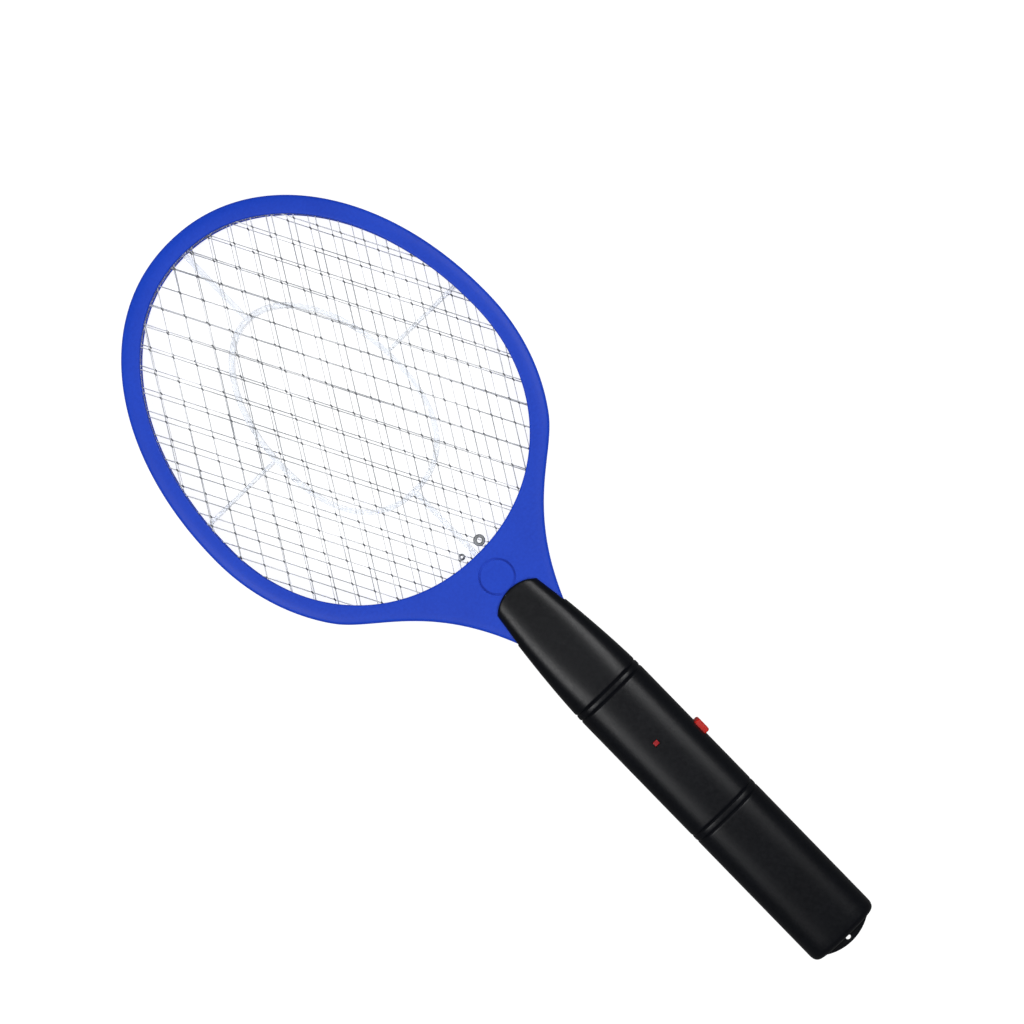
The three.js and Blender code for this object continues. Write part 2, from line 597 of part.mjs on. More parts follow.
function transformerWinding() {
  return cut(aroundTransformer(5.3, 3.2, 4.6), aroundTransformer(3.2, 4, 3.7));
}

// A part with a round body along the board and a bent lead at each end.
function axialPart([x, station], { radius, length, pitch }) {
  const height = ON_BOARD + radius + 0.4;
  const profile = [[0, -length / 2], [radius, -length / 2], [radius, length / 2], [0, length / 2]];
  const barrel = turnedAlong(profile, x, station, height, 10);
  const half = 0.3;
  const across = [x - half, x + half];
  const bar = block(across, [station - pitch / 2, station + pitch / 2], [height - half, height + half]);
  const leg = (side) => {
    const at = station + side * (pitch / 2 - half);
    return block(across, [at - half, at + half], [ON_BOARD, height]);
  };
  return join(barrel, bar, leg(-1), leg(1));
}

function filmCapacitor() {
  const { halfX, from, to, height } = FILM_CAPACITOR;
  return block([-halfX, halfX], [from, to], [ON_BOARD, ON_BOARD + height]);
}

function filterCapacitor() {
  const { x, station, radius, height } = FILTER_CAPACITOR;
  return post(x, station, radius, ON_BOARD, ON_BOARD + height, 16);
}

function transistor() {
  const { x, station, radius, low, high, legPitch } = TRANSISTOR;
  const round = post(x, station, radius, ON_BOARD + low, ON_BOARD + high, 14);
  const flat = block([x - 4, x + 4], [station - 3, station + 1.7], [ON_BOARD, ON_BOARD + high + 1]);
  const leg = (dx) => {
    const at = x + dx;
    return block([at - 0.3, at + 0.3], [station - 0.3, station + 0.3], [ON_BOARD, ON_BOARD + low + 1]);
  };
  return join(round.intersect(flat), leg(-legPitch), leg(0), leg(legPitch));
}

// A lamp with a square lens that comes through the front shell flush, on two long legs.
function led() {
  const { x, station, halfX, halfY, low, high } = LED;
  const layer = (grow, heights) => {
    const across = [x - halfX - grow, x + halfX + grow];
    return block(across, [station - halfY - grow, station + halfY + grow], heights);
  };
  const leg = (side) => {
    const at = x + side * 0.9;
    return block([at - 0.25, at + 0.25], [station - 0.25, station + 0.25], [ON_BOARD, low]);
  };
  return join(layer(0, [low, high]), layer(0.4, [low - 1, low + 0.4]), leg(-1), leg(1));
}

// ---------------------------------------------------------------- push button and switch
function powerButton() {
  const { station, halfLength, halfHeight, out, flangeFrom, flangeTo } = BUTTON;
  const heights = [MID - halfHeight, MID + halfHeight];
  const cap = block([flangeTo - 1, out], [station - halfLength, station + halfLength], heights);
  const flange = block([flangeFrom, flangeTo], [station - 5.2, station + 5.2], [MID - 6.6, MID + 6.6]);
  return join(cap, flange);
}

// The metal bridge on the button's back, which closes the two fixed contacts at full press.
function contactBridge() {
  const face = BUTTON.flangeFrom - GAP;
  return block([face - 0.4, face], [BUTTON.station - 4.4, BUTTON.station + 4.4], [MID - 2, MID + 2]);
}

function fixedContact(side) {
  const at = BUTTON.station + side * 3.7;
  return block([9.7, 10.1], [at - 0.7, at + 0.7], [ON_BOARD, MID + 2]);
}

function switchBase() {
  return block([4.8, 6.7], [BUTTON.station - 5, BUTTON.station + 5], [ON_BOARD, MID + 4]);
}

function buttonSpring() {
  const geometry = coil(BUTTON_SPRING).rotateY(Math.PI / 2);
  return solid(geometry.translate(BUTTON_SPRING.from, along(BUTTON.station), MID));
}

// ---------------------------------------------------------------- assembly
function finish(color, roughness, metalness = 0) {
  return () => new THREE.MeshStandardMaterial({ color, roughness, metalness });
}

const blueStyrene = finish("#2c4cbe", 0.38);
const blackAbs = finish("#1d1f22", 0.42);
const redAbs = finish("#bb2e24", 0.35);
const redLens = finish("#a4262a", 0.2);
const clearStyrene = finish("#dfe6ee", 0.3);
const gridMetal = finish("#80848a", 0.35, 0.9);
const zincSteel = finish("#b9bcc0", 0.3, 1);
const springSteel = finish("#a9adb2", 0.3, 1);
const copperWire = finish("#a5592a", 0.4, 0.8);
const ferrite = finish("#33343a", 0.7);
const boardGreen = finish("#2f6b3c", 0.5);
const blackPart = finish("#141517", 0.5);
const greenFilm = finish("#3f7a3a", 0.4);
const tanResistor = finish("#c9a877", 0.5);
const redSleeve = finish("#a8201c", 0.5);
const blackSleeve = finish("#181818", 0.5);
const whiteSleeve = finish("#e8e8e4", 0.5);
const cellJacket = finish("#c9a227", 0.35, 0.4);

const swatter = new THREE.Group();

function add(name, shape, material) {
  const { vertProperties, triVerts } = shape.getMesh();
  const geometry = new THREE.BufferGeometry();
  geometry.setAttribute("position", new THREE.BufferAttribute(vertProperties, 3));
  geometry.setIndex(new THREE.BufferAttribute(triVerts, 1));
  geometry.computeVertexNormals();
  const mesh = new THREE.Mesh(geometry, material());
  mesh.name = name;
  swatter.add(mesh);
}

const head = headPair();
add("head_front_frame", cut(head.intersect(above(MID + SEAM)), ringMark()), blueStyrene);
add("head_rear_frame", head.intersect(below(MID - SEAM)), blueStyrene);
add("front_grid", grid(1, FRONT_LATTICE), gridMetal);
add("middle_grid", grid(0, MIDDLE_LATTICE), gridMetal);
add("rear_grid", grid(-1, REAR_LATTICE), gridMetal);
add("front_spacer", spacer(1), clearStyrene);
add("rear_spacer", spacer(-1), clearStyrene);
add("front_grid_rivet", gridRivet(1), zincSteel);
add("rear_grid_rivet", gridRivet(-1), zincSteel);

add("handle_front_shell", handleFrontShell(), blackAbs);
add("handle_rear_shell", handleRearShell(), blackAbs);
add("battery_door", batteryDoor(), blackAbs);

for (const [side, hand] of [[-1, "left"], [1, "right"]]) {
  add(`neck_screw_${hand}`, screw(side, NECK_SCREWS), zincSteel);
  add(`upper_shell_screw_${hand}`, screw(side, UPPER_SCREWS), zincSteel);
  add(`lower_shell_screw_${hand}`, screw(side, LOWER_SCREWS), zincSteel);
  add(`battery_cell_${hand}`, cell(side), cellJacket);
  add(`cell_spring_${hand}`, cellSpring(side), springSteel);
}
add("plus_contact_plate", contactPlate(-1), zincSteel);
add("minus_contact_plate", contactPlate(1), zincSteel);
add("cell_bridge_plate", bridgePlate(), zincSteel);

add("circuit_board", circuitBoard(), boardGreen);
for (const boardFixing of BOARD_SCREWS) add(boardFixing.name, boardScrew(boardFixing), zincSteel);
add("transformer_core", transformerCore(), ferrite);
add("transformer_bobbin", transformerBobbin(), blackPart);
add("transformer_winding", transformerWinding(), copperWire);
add("film_capacitor", filmCapacitor(), greenFilm);
add("filter_capacitor", filterCapacitor(), blackPart);
add("transistor", transistor(), blackPart);
DIODE.places.forEach((place, i) => add(`rectifier_diode_${i + 1}`, axialPart(place, DIODE), blackPart));
RESISTOR.places.forEach((place, i) => add(`resistor_${i + 1}`, axialPart(place, RESISTOR), tanResistor));
add("power_led", led(), redLens);

add("power_button", powerButton(), redAbs);
add("contact_bridge", contactBridge(), zincSteel);
add("fixed_contact_upper", fixedContact(-1), zincSteel);
add("fixed_contact_lower", fixedContact(1), zincSteel);
add("switch_base", switchBase(), blackPart);
add("button_spring", buttonSpring(), springSteel);

add("front_grid_lead", wire(FRONT_LEAD, LEAD.radius, 20), whiteSleeve);
add("middle_grid_lead", wire(MIDDLE_LEAD, LEAD.radius, 16), redSleeve);
add("rear_grid_lead", wire(REAR_LEAD, LEAD.radius, 20), blackSleeve);
add("battery_plus_lead", wire(PLUS_LEAD, LEAD.radius, 10), redSleeve);
add("battery_minus_lead", wire(MINUS_LEAD, LEAD.radius, 10), blackSleeve);

export default swatter;
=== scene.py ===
import math

import bmesh
import bpy
import numpy as np
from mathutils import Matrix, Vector


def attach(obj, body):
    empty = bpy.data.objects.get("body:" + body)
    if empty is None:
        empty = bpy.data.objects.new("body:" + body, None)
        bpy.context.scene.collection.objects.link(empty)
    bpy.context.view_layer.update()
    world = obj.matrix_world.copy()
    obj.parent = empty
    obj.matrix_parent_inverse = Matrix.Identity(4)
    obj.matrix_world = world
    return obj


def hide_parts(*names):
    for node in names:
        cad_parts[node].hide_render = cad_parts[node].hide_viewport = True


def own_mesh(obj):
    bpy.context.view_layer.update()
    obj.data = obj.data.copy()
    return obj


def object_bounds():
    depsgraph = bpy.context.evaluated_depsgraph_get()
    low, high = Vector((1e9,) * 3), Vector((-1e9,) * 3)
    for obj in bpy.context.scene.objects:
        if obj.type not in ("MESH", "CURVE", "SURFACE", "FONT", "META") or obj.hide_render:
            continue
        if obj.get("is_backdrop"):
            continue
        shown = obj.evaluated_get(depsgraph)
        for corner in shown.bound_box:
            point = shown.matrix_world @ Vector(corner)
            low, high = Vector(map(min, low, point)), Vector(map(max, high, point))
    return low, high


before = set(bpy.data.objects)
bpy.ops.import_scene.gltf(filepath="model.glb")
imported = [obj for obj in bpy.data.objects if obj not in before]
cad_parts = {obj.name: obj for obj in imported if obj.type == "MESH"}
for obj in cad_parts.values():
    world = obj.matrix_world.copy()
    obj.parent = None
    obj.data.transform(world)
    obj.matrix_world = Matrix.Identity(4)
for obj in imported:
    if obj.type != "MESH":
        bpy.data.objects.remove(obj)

MM = 0.001
cad_low, cad_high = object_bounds()
TIP_Y = cad_high.y / MM


# ---- Camera: straight above the swatter, which lies across the picture from the upper left to the lower right.
VIEW_TARGET = Vector((25.0, 25.6, 14.0)) * MM
VIEW_DISTANCE = 1.05
VIEW_WIDTH = 0.4623  # what the picture spans at the height of the parting plane
VIEW_TURN = -44.23

camera_data = bpy.data.cameras.new("camera")
camera_data.lens = camera_data.sensor_width * VIEW_DISTANCE / VIEW_WIDTH
camera_data.clip_start = 0.01
camera = bpy.data.objects.new("camera", camera_data)
camera.location = VIEW_TARGET + Vector((0, 0, VIEW_DISTANCE))
camera.rotation_euler = (0, 0, math.radians(VIEW_TURN))
bpy.context.collection.objects.link(camera)
bpy.context.scene.camera = camera


# ---- Floor and light: a white acrylic light table under the swatter, a long softbox on each side of it for the
# two highlights of the handle, and a large soft fill above that gives no highlight of its own.
def linear(code):
    """A linear colour from its sRGB hex code."""
    channels = [int(code[i:i + 2], 16) / 255 for i in (1, 3, 5)]
    return tuple(c / 12.92 if c <= 0.04045 else ((c + 0.055) / 1.055) ** 2.4 for c in channels) + (1,)


def set_inputs(tree, item, inputs):
    """Sets a node's inputs. A node stands for its first output, outputs are linked, a list links all that is in
    it, and a triple with outputs in it is combined first."""
    linked = (bpy.types.Node, bpy.types.NodeSocket)
    for socket, value in inputs.items():
        if isinstance(value, tuple) and any(isinstance(part, linked) for part in value):
            value = add_node(tree, "ShaderNodeCombineXYZ", dict(enumerate(value)))
        for source in value if isinstance(value, list) else [value]:
            if isinstance(source, linked):
                output = source.outputs[0] if isinstance(source, bpy.types.Node) else source
                tree.links.new(output, item.inputs[socket])
            else:
                item.inputs[socket].default_value = source


def add_node(tree, kind, inputs=None, **settings):
    """Adds a node with its settings and its inputs."""
    item = tree.nodes.new(kind)
    for setting, value in settings.items():
        setattr(item, setting, value)
    set_inputs(tree, item, inputs or {})
    return item


def new_material(name, constants):
    """A new material, its node tree and its shader, with the values that are the same all over it."""
    material = bpy.data.materials.new(name)
    material.use_nodes = True
    surface = material.node_tree.nodes["Principled BSDF"]
    set_inputs(material.node_tree, surface, constants)
    return material, material.node_tree, surface


FLOOR_HALF = 3.0
FLOOR_GAP = 0.2 * MM  # a little below the swatter, so that nothing flickers where the two touch
corners = ((-1, -1), (1, -1), (1, 1), (-1, 1))
floor_mesh = bpy.data.meshes.new("light_table")
floor_mesh.from_pydata([(x * FLOOR_HALF, y * FLOOR_HALF, cad_low.z - FLOOR_GAP) for x, y in corners],
                       [], [(0, 1, 2, 3)])
light_table = bpy.data.objects.new("light_table", floor_mesh)
light_table.visible_glossy = False
bpy.context.collection.objects.link(light_table)
light_table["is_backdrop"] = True

white_acrylic = new_material("white_acrylic", {
    "Base Color": linear("#a8a8a8"), "Roughness": 0.6,
    "Emission Color": (1, 1, 1, 1), "Emission Strength": 0.82})[0]
floor_mesh.materials.append(white_acrylic)

SOFTBOX = {"size": (0.5, 0.54), "energy": 5.6, "out": 0.56, "forward": 0.07, "up": 1.05}
FILL = {"size": (1.5, 1.3), "energy": 6.0, "out": 0.0, "forward": -0.06, "up": 1.3}
LIGHTS = (("softbox_left", -1, SOFTBOX), ("softbox_right", 1, SOFTBOX), ("overhead_fill", 0, FILL))
for light_name, side, kind in LIGHTS:
    light = bpy.data.lights.new(light_name, "AREA")
    light.shape = "RECTANGLE"
    light.size, light.size_y = kind["size"]
    light.energy = kind["energy"]
    lamp = bpy.data.objects.new(light_name, light)
    lamp.location = (side * kind["out"], kind["forward"], kind["up"])
    lamp.rotation_euler = (0, side * math.atan2(kind["out"], kind["up"]), 0)
    lamp.visible_glossy = kind is SOFTBOX
    bpy.context.collection.objects.link(lamp)

world = bpy.data.worlds.new("studio_air")
world.use_nodes = True
set_inputs(world.node_tree, world.node_tree.nodes["Background"], {"Color": (1, 1, 1, 1), "Strength": 0.1})
bpy.context.scene.world = world
bpy.context.scene.view_settings.view_transform = "Standard"


# ---- Frame of the racket head: two halves moulded in blue high-impact polystyrene, closed on each other over
# the grids. The front half has a plain ring sunk into its neck; the rear one has the sinks of two screws.
def moulded_plastic(name, colour, shade, roughness, ior, grain, depth, mirror=0.5):
    """Moulded plastic: an even colour with faint cloudy flow marks, and the fine grain of the eroded mould.
    The real grain is about 0.2 mm; it is drawn coarser so that it shows."""
    material, tree, surface = new_material(name, {"IOR": ior, "Specular IOR Level": mirror})
    place = add_node(tree, "ShaderNodeTexCoord").outputs["Object"]
    flow = add_node(tree, "ShaderNodeTexNoise", {"Vector": place, "Scale": 1 / (34 * MM), "Detail": 3.0})
    dust = add_node(tree, "ShaderNodeTexNoise", {"Vector": place, "Scale": 1 / (1.3 * MM), "Detail": 5.0})
    mixed = add_node(tree, "ShaderNodeMath", {0: flow, 1: dust}, operation="ADD")
    level = add_node(tree, "ShaderNodeMapRange", {"Value": mixed, "From Min": 0.7, "From Max": 1.3})
    tint = add_node(tree, "ShaderNodeMix", {
        "Factor": level, 6: linear(shade), 7: linear(colour)}, data_type="RGBA")
    gloss = add_node(tree, "ShaderNodeMapRange", {
        "Value": dust, "From Min": 0.3, "From Max": 0.7,
        "To Min": roughness - 0.04, "To Max": roughness + 0.04})
    eroded = add_node(tree, "ShaderNodeTexNoise", {"Vector": place, "Scale": 1 / (grain * MM), "Detail": 4.0})
    bump = add_node(tree, "ShaderNodeBump", {"Height": eroded, "Strength": 0.5, "Distance": depth * MM})
    set_inputs(tree, surface, {"Base Color": tint.outputs[2], "Roughness": gloss, "Normal": bump})
    return material


blue_polystyrene = moulded_plastic("blue_polystyrene", "#1944c4", "#163db7", 0.38, 1.59, 0.9, 0.02, 0.12)

# Each edge of the frame is an egg: half its width, its reach to the tip and the neck, and how full both are.
EGG = {"station": 116.4, "rim": (85.8, 116.4, 93.0, 2.09, 2.03), "opening": (77.5, 108.0, 80.7, 2.08, 2.09)}
EGG_Y = TIP_Y - EGG["station"]
NECK_CURVE = [(67.86, 174.0), (56.92, 189.25), (31.43, 196.68), (14.2, 239.2)]
NECK_TAIL = [(10.0, 239.2), (10.0, 250.0), (10.0, 262.0), (5.0, 262.0), (0.0, 262.0)]
RIM_TOP = 7.0  # the frame's face above the parting plane
SEAM = 0.15  # from the parting plane to each half
PARTING = 14.0
HALF_NAMES = {1: "front", -1: "rear"}
FRAME_EDGE = {"round": 1.6, "drop": 0.28, "lip_round": 0.7, "lip": 2.0, "pocket": 3.0, "bevel": 0.3}


def egg_edge(angles, half_width, top, bottom, top_power, bottom_power):
    """Points on an egg in the given directions from its centre."""
    c, s = np.cos(angles), np.sin(angles)
    reach = np.where(s >= 0, top, bottom)
    power = np.where(s >= 0, top_power, bottom_power)
    distance = ((np.abs(c) / half_width) ** power + (np.abs(s) / reach) ** power) ** (-1 / power)
    return np.stack([distance * c, distance * s + EGG_Y], 1)


def bezier(corners, count):
    """Points on a cubic curve through the first and last corner."""
    u = np.linspace(0, 1, count)[:, None]
    a, b, c, d = (np.array(corner, float) for corner in corners)
    return (1 - u) ** 3 * a + 3 * (1 - u) ** 2 * u * b + 3 * (1 - u) * u ** 2 * c + u ** 3 * d


def head_edge():
    """The frame's outline, from the middle of the tail up the right side, over the tip and down the left side."""
    neck = bezier(NECK_CURVE, 56)[::-1]
    right = np.array([*NECK_TAIL[::-1], *neck])
    right[:, 1] = TIP_Y - right[:, 1]
    start = math.atan2(right[-1, 1] - EGG_Y, right[-1, 0])
    rim = egg_edge(np.linspace(start, math.pi / 2, 150)[1:], *EGG["rim"])
    right = np.concatenate([right, rim])
    left = right[-2:0:-1] * (-1, 1)
    return np.concatenate([right, left])


def inset(edge, distance):
    """A closed outline moved inwards, square to its sides."""
    side = np.roll(edge, -1, 0) - edge
    side /= np.linalg.norm(side, axis=1)[:, None]
    normal = np.stack([side[:, 1], -side[:, 0]], 1)
    before = np.roll(normal, 1, 0)
    return edge - distance * (normal + before) / (1 + (normal * before).sum(1))[:, None]


def rounding(radius, steps=6):
    """Pairs of inset and rise round a quarter-circle edge, from the side to the top."""
    turn = np.linspace(0, math.pi / 2, steps + 1)
    return [(radius * (1 - math.cos(a)), radius * math.sin(a)) for a in turn]


def mesh_of(name, points, faces):
    """A mesh from points in millimetres, with doubled points merged and its faces turned outwards."""
    mesh = bpy.data.meshes.new(name)
    mesh.from_pydata([tuple(p) for p in np.array(points, float) * MM], [], faces)
    shell = bmesh.new()
    shell.from_mesh(mesh)
    bmesh.ops.remove_doubles(shell, verts=shell.verts, dist=1e-7)
    bmesh.ops.recalc_face_normals(shell, faces=shell.faces)
    shell.to_mesh(mesh)
    shell.free()
    return mesh


def ring_faces(rings, count, closed=True):
    """Faces between rows of points, each row a loop. A closed row of rings joins the last one to the first."""
    faces = []
    for r in range(rings if closed else rings - 1):
        low, high = r * count, (r + 1) % rings * count
        faces += [(low + i, low + (i + 1) % count, high + (i + 1) % count, high + i) for i in range(count)]
    return faces


def as_object(name, mesh):
    """A new object in the scene for a mesh."""
    piece = bpy.data.objects.new(name, mesh)
    bpy.context.collection.objects.link(piece)
    return piece


def carve(piece, operation, *tools):
    """Applies boolean cuts or joins with other objects, and removes them."""
    for tool in tools:
        step = piece.modifiers.new("carve", "BOOLEAN")
        step.solver = "MANIFOLD"
        step.operation = operation
        step.object = tool
    settle(piece)
    for tool in tools:
        bpy.data.objects.remove(tool)
    return piece


def settle(piece):
    """Replaces a piece's mesh with what its modifiers make of it, and removes them."""
    bpy.context.view_layer.update()
    finished = bpy.data.meshes.new_from_object(piece.evaluated_get(bpy.context.evaluated_depsgraph_get()))
    piece.modifiers.clear()
    piece.data = finished


def finish_piece(piece, material, nodes, body="root", corner=32):
    """Gives a piece its finish, hangs it on the empty of the body it rides on, and hides the CAD nodes it stands
    for.
    """
    piece.data.materials.clear()
    piece.data.materials.append(material)
    for face in piece.data.polygons:
        face.material_index = 0
    piece.data.shade_smooth()
    piece.data.set_sharp_from_angle(angle=math.radians(corner))
    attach(piece, body)
    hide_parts(*nodes)
    return piece


def post(x, station, radius, low, high, sides=48):
    """A round bar that stands at a place, as a tool for holes or a plain solid."""
    angles = np.linspace(0, 2 * math.pi, sides, endpoint=False)
    loop = np.stack([x + radius * np.cos(angles), TIP_Y - station + radius * np.sin(angles)], 1)
    return slab("post", loop, low, high, 0)


def edge_profile(low, high, edge, steps):
    """Pairs of inset and height up the side of a plate whose lower and upper edges are rounded."""
    turn = rounding(edge, steps)
    lower = [(i, low + edge - rise) for i, rise in turn[::-1]]
    return lower + [(i, high - edge + rise) for i, rise in turn]


def slab(name, loop, low, high, edge, steps=4):
    """A plate with rounded edges, from its outline and two heights."""
    profile = edge_profile(low, high, edge, steps) if edge else [(0.0, low), (0.0, high)]
    points = [np.column_stack([inset(loop, i) if i else loop, np.full(len(loop), z)]) for i, z in profile]
    count = len(loop)
    faces = ring_faces(len(profile), count, closed=False)
    faces.append(tuple(range(count))[::-1])
    faces.append(tuple(range((len(profile) - 1) * count, len(profile) * count)))
    return as_object(name, mesh_of(name, np.concatenate(points), faces))


def head_half(sign, opening_grow):
    """One half of the frame as a closed ring of sections: the outer wall, the face, the lip and the pocket."""
    outer = head_edge()
    angles = np.arctan2(outer[:, 1] - EGG_Y, outer[:, 0])
    opening = egg_edge(angles, *EGG["opening"])
    edge_round, lip_round, lip, bevel = (FRAME_EDGE[part] for part in ("round", "lip_round", "lip", "bevel"))
    pocket = FRAME_EDGE["pocket"] - opening_grow
    sections = [("outer", bevel, SEAM), ("outer", 0.0, SEAM + bevel)]
    shoulder = RIM_TOP - FRAME_EDGE["drop"] - edge_round
    sections += [("outer", i, shoulder + rise) for i, rise in rounding(edge_round)]
    # The face is slightly crowned between its two rounded edges.
    sections += [("outer", 2.6, RIM_TOP - 0.1), ("outer", 3.7, RIM_TOP), ("inner", 3.3, RIM_TOP)]
    sections += [("inner", 2.0, RIM_TOP - 0.04)]
    lip_top = RIM_TOP - 0.12 - lip_round
    sections += [("inner", i, lip_top + rise) for i, rise in rounding(lip_round, 4)[::-1]]
    sections += [("inner", 0.0, RIM_TOP - lip + 0.1), ("inner", 0.1, RIM_TOP - lip)]
    sections += [("inner", pocket, RIM_TOP - lip), ("inner", pocket, SEAM)]
    points = []
    for kind, distance, rise in sections:
        loop = inset(outer, distance) if kind == "outer" else inset(opening, -distance - opening_grow)
        points.append(np.column_stack([loop, np.full(len(loop), PARTING + sign * rise)]))
    faces = ring_faces(len(sections), len(outer))
    if sign < 0:
        faces = [face[::-1] for face in faces]
    name = f"head_{HALF_NAMES[sign]}_frame_shell"
    return as_object(name, mesh_of(name, np.concatenate(points), faces))


RING_MARK = {"station": 210.5, "radii": (8.5, 7.5), "depth": 1.1}
NECK_SCREW = {"x": 16.0, "station": 206.0}
NECK_SINK = ((2.9, 6.0, 9.2), (1.6, 9.0, 14.5))  # radius, bottom and top: for the screw's head and its shank
REAR_OPENING_GROW = 0.7  # the rear opening is a little larger, so it can't be seen past the front one

head_rear = head_half(-1, REAR_OPENING_GROW)
neck_ways = [post(side * NECK_SCREW["x"], NECK_SCREW["station"], radius, low, high)
             for side in (-1, 1) for radius, low, high in NECK_SINK]
carve(head_rear, "DIFFERENCE", *neck_ways)
finish_piece(head_rear, blue_polystyrene, ["head_rear_frame"])

head_front = head_half(1, 0.0)
mark_top = PARTING + RIM_TOP
outer_radius, inner_radius = RING_MARK["radii"]
groove = post(0, RING_MARK["station"], outer_radius, mark_top - RING_MARK["depth"], mark_top + 1, 96)
core = post(0, RING_MARK["station"], inner_radius, mark_top - 2, mark_top + 2, 96)
carve(groove, "DIFFERENCE", core)
carve(head_front, "DIFFERENCE", groove)
finish_piece(head_front, blue_polystyrene, ["head_front_frame"])


# ---- Grids: three sheets of expanded steel, slit and pulled into diamonds, tinned and clamped in the frame's
# pocket. The outer two are at one charge and the middle one at the other. Each has its own pull and place.
def start_tree(name, result, inputs):
    """A node tree with named inputs. Each is given as its usual size, or as the kind of its socket."""
    tree = bpy.data.node_groups.new(name, "GeometryNodeTree")
    for label, value in inputs.items():
        kind = value if isinstance(value, str) else {float: "Float", int: "Int"}[type(value)]
        socket = tree.interface.new_socket(label, in_out="INPUT", socket_type=f"NodeSocket{kind}")
        if not isinstance(value, str):
            socket.default_value = value
    tree.interface.new_socket(result, in_out="OUTPUT", socket_type="NodeSocketGeometry")
    return tree, add_node(tree, "NodeGroupInput").outputs


def close_tree(tree, geometry, material):
    """Ends a node tree: its copies are made real and get their material."""
    solid = add_node(tree, "GeometryNodeRealizeInstances", {0: geometry})
    coated = add_node(tree, "GeometryNodeSetMaterial", {0: solid, "Material": material})
    add_node(tree, "NodeGroupOutput", {0: coated})
    return tree


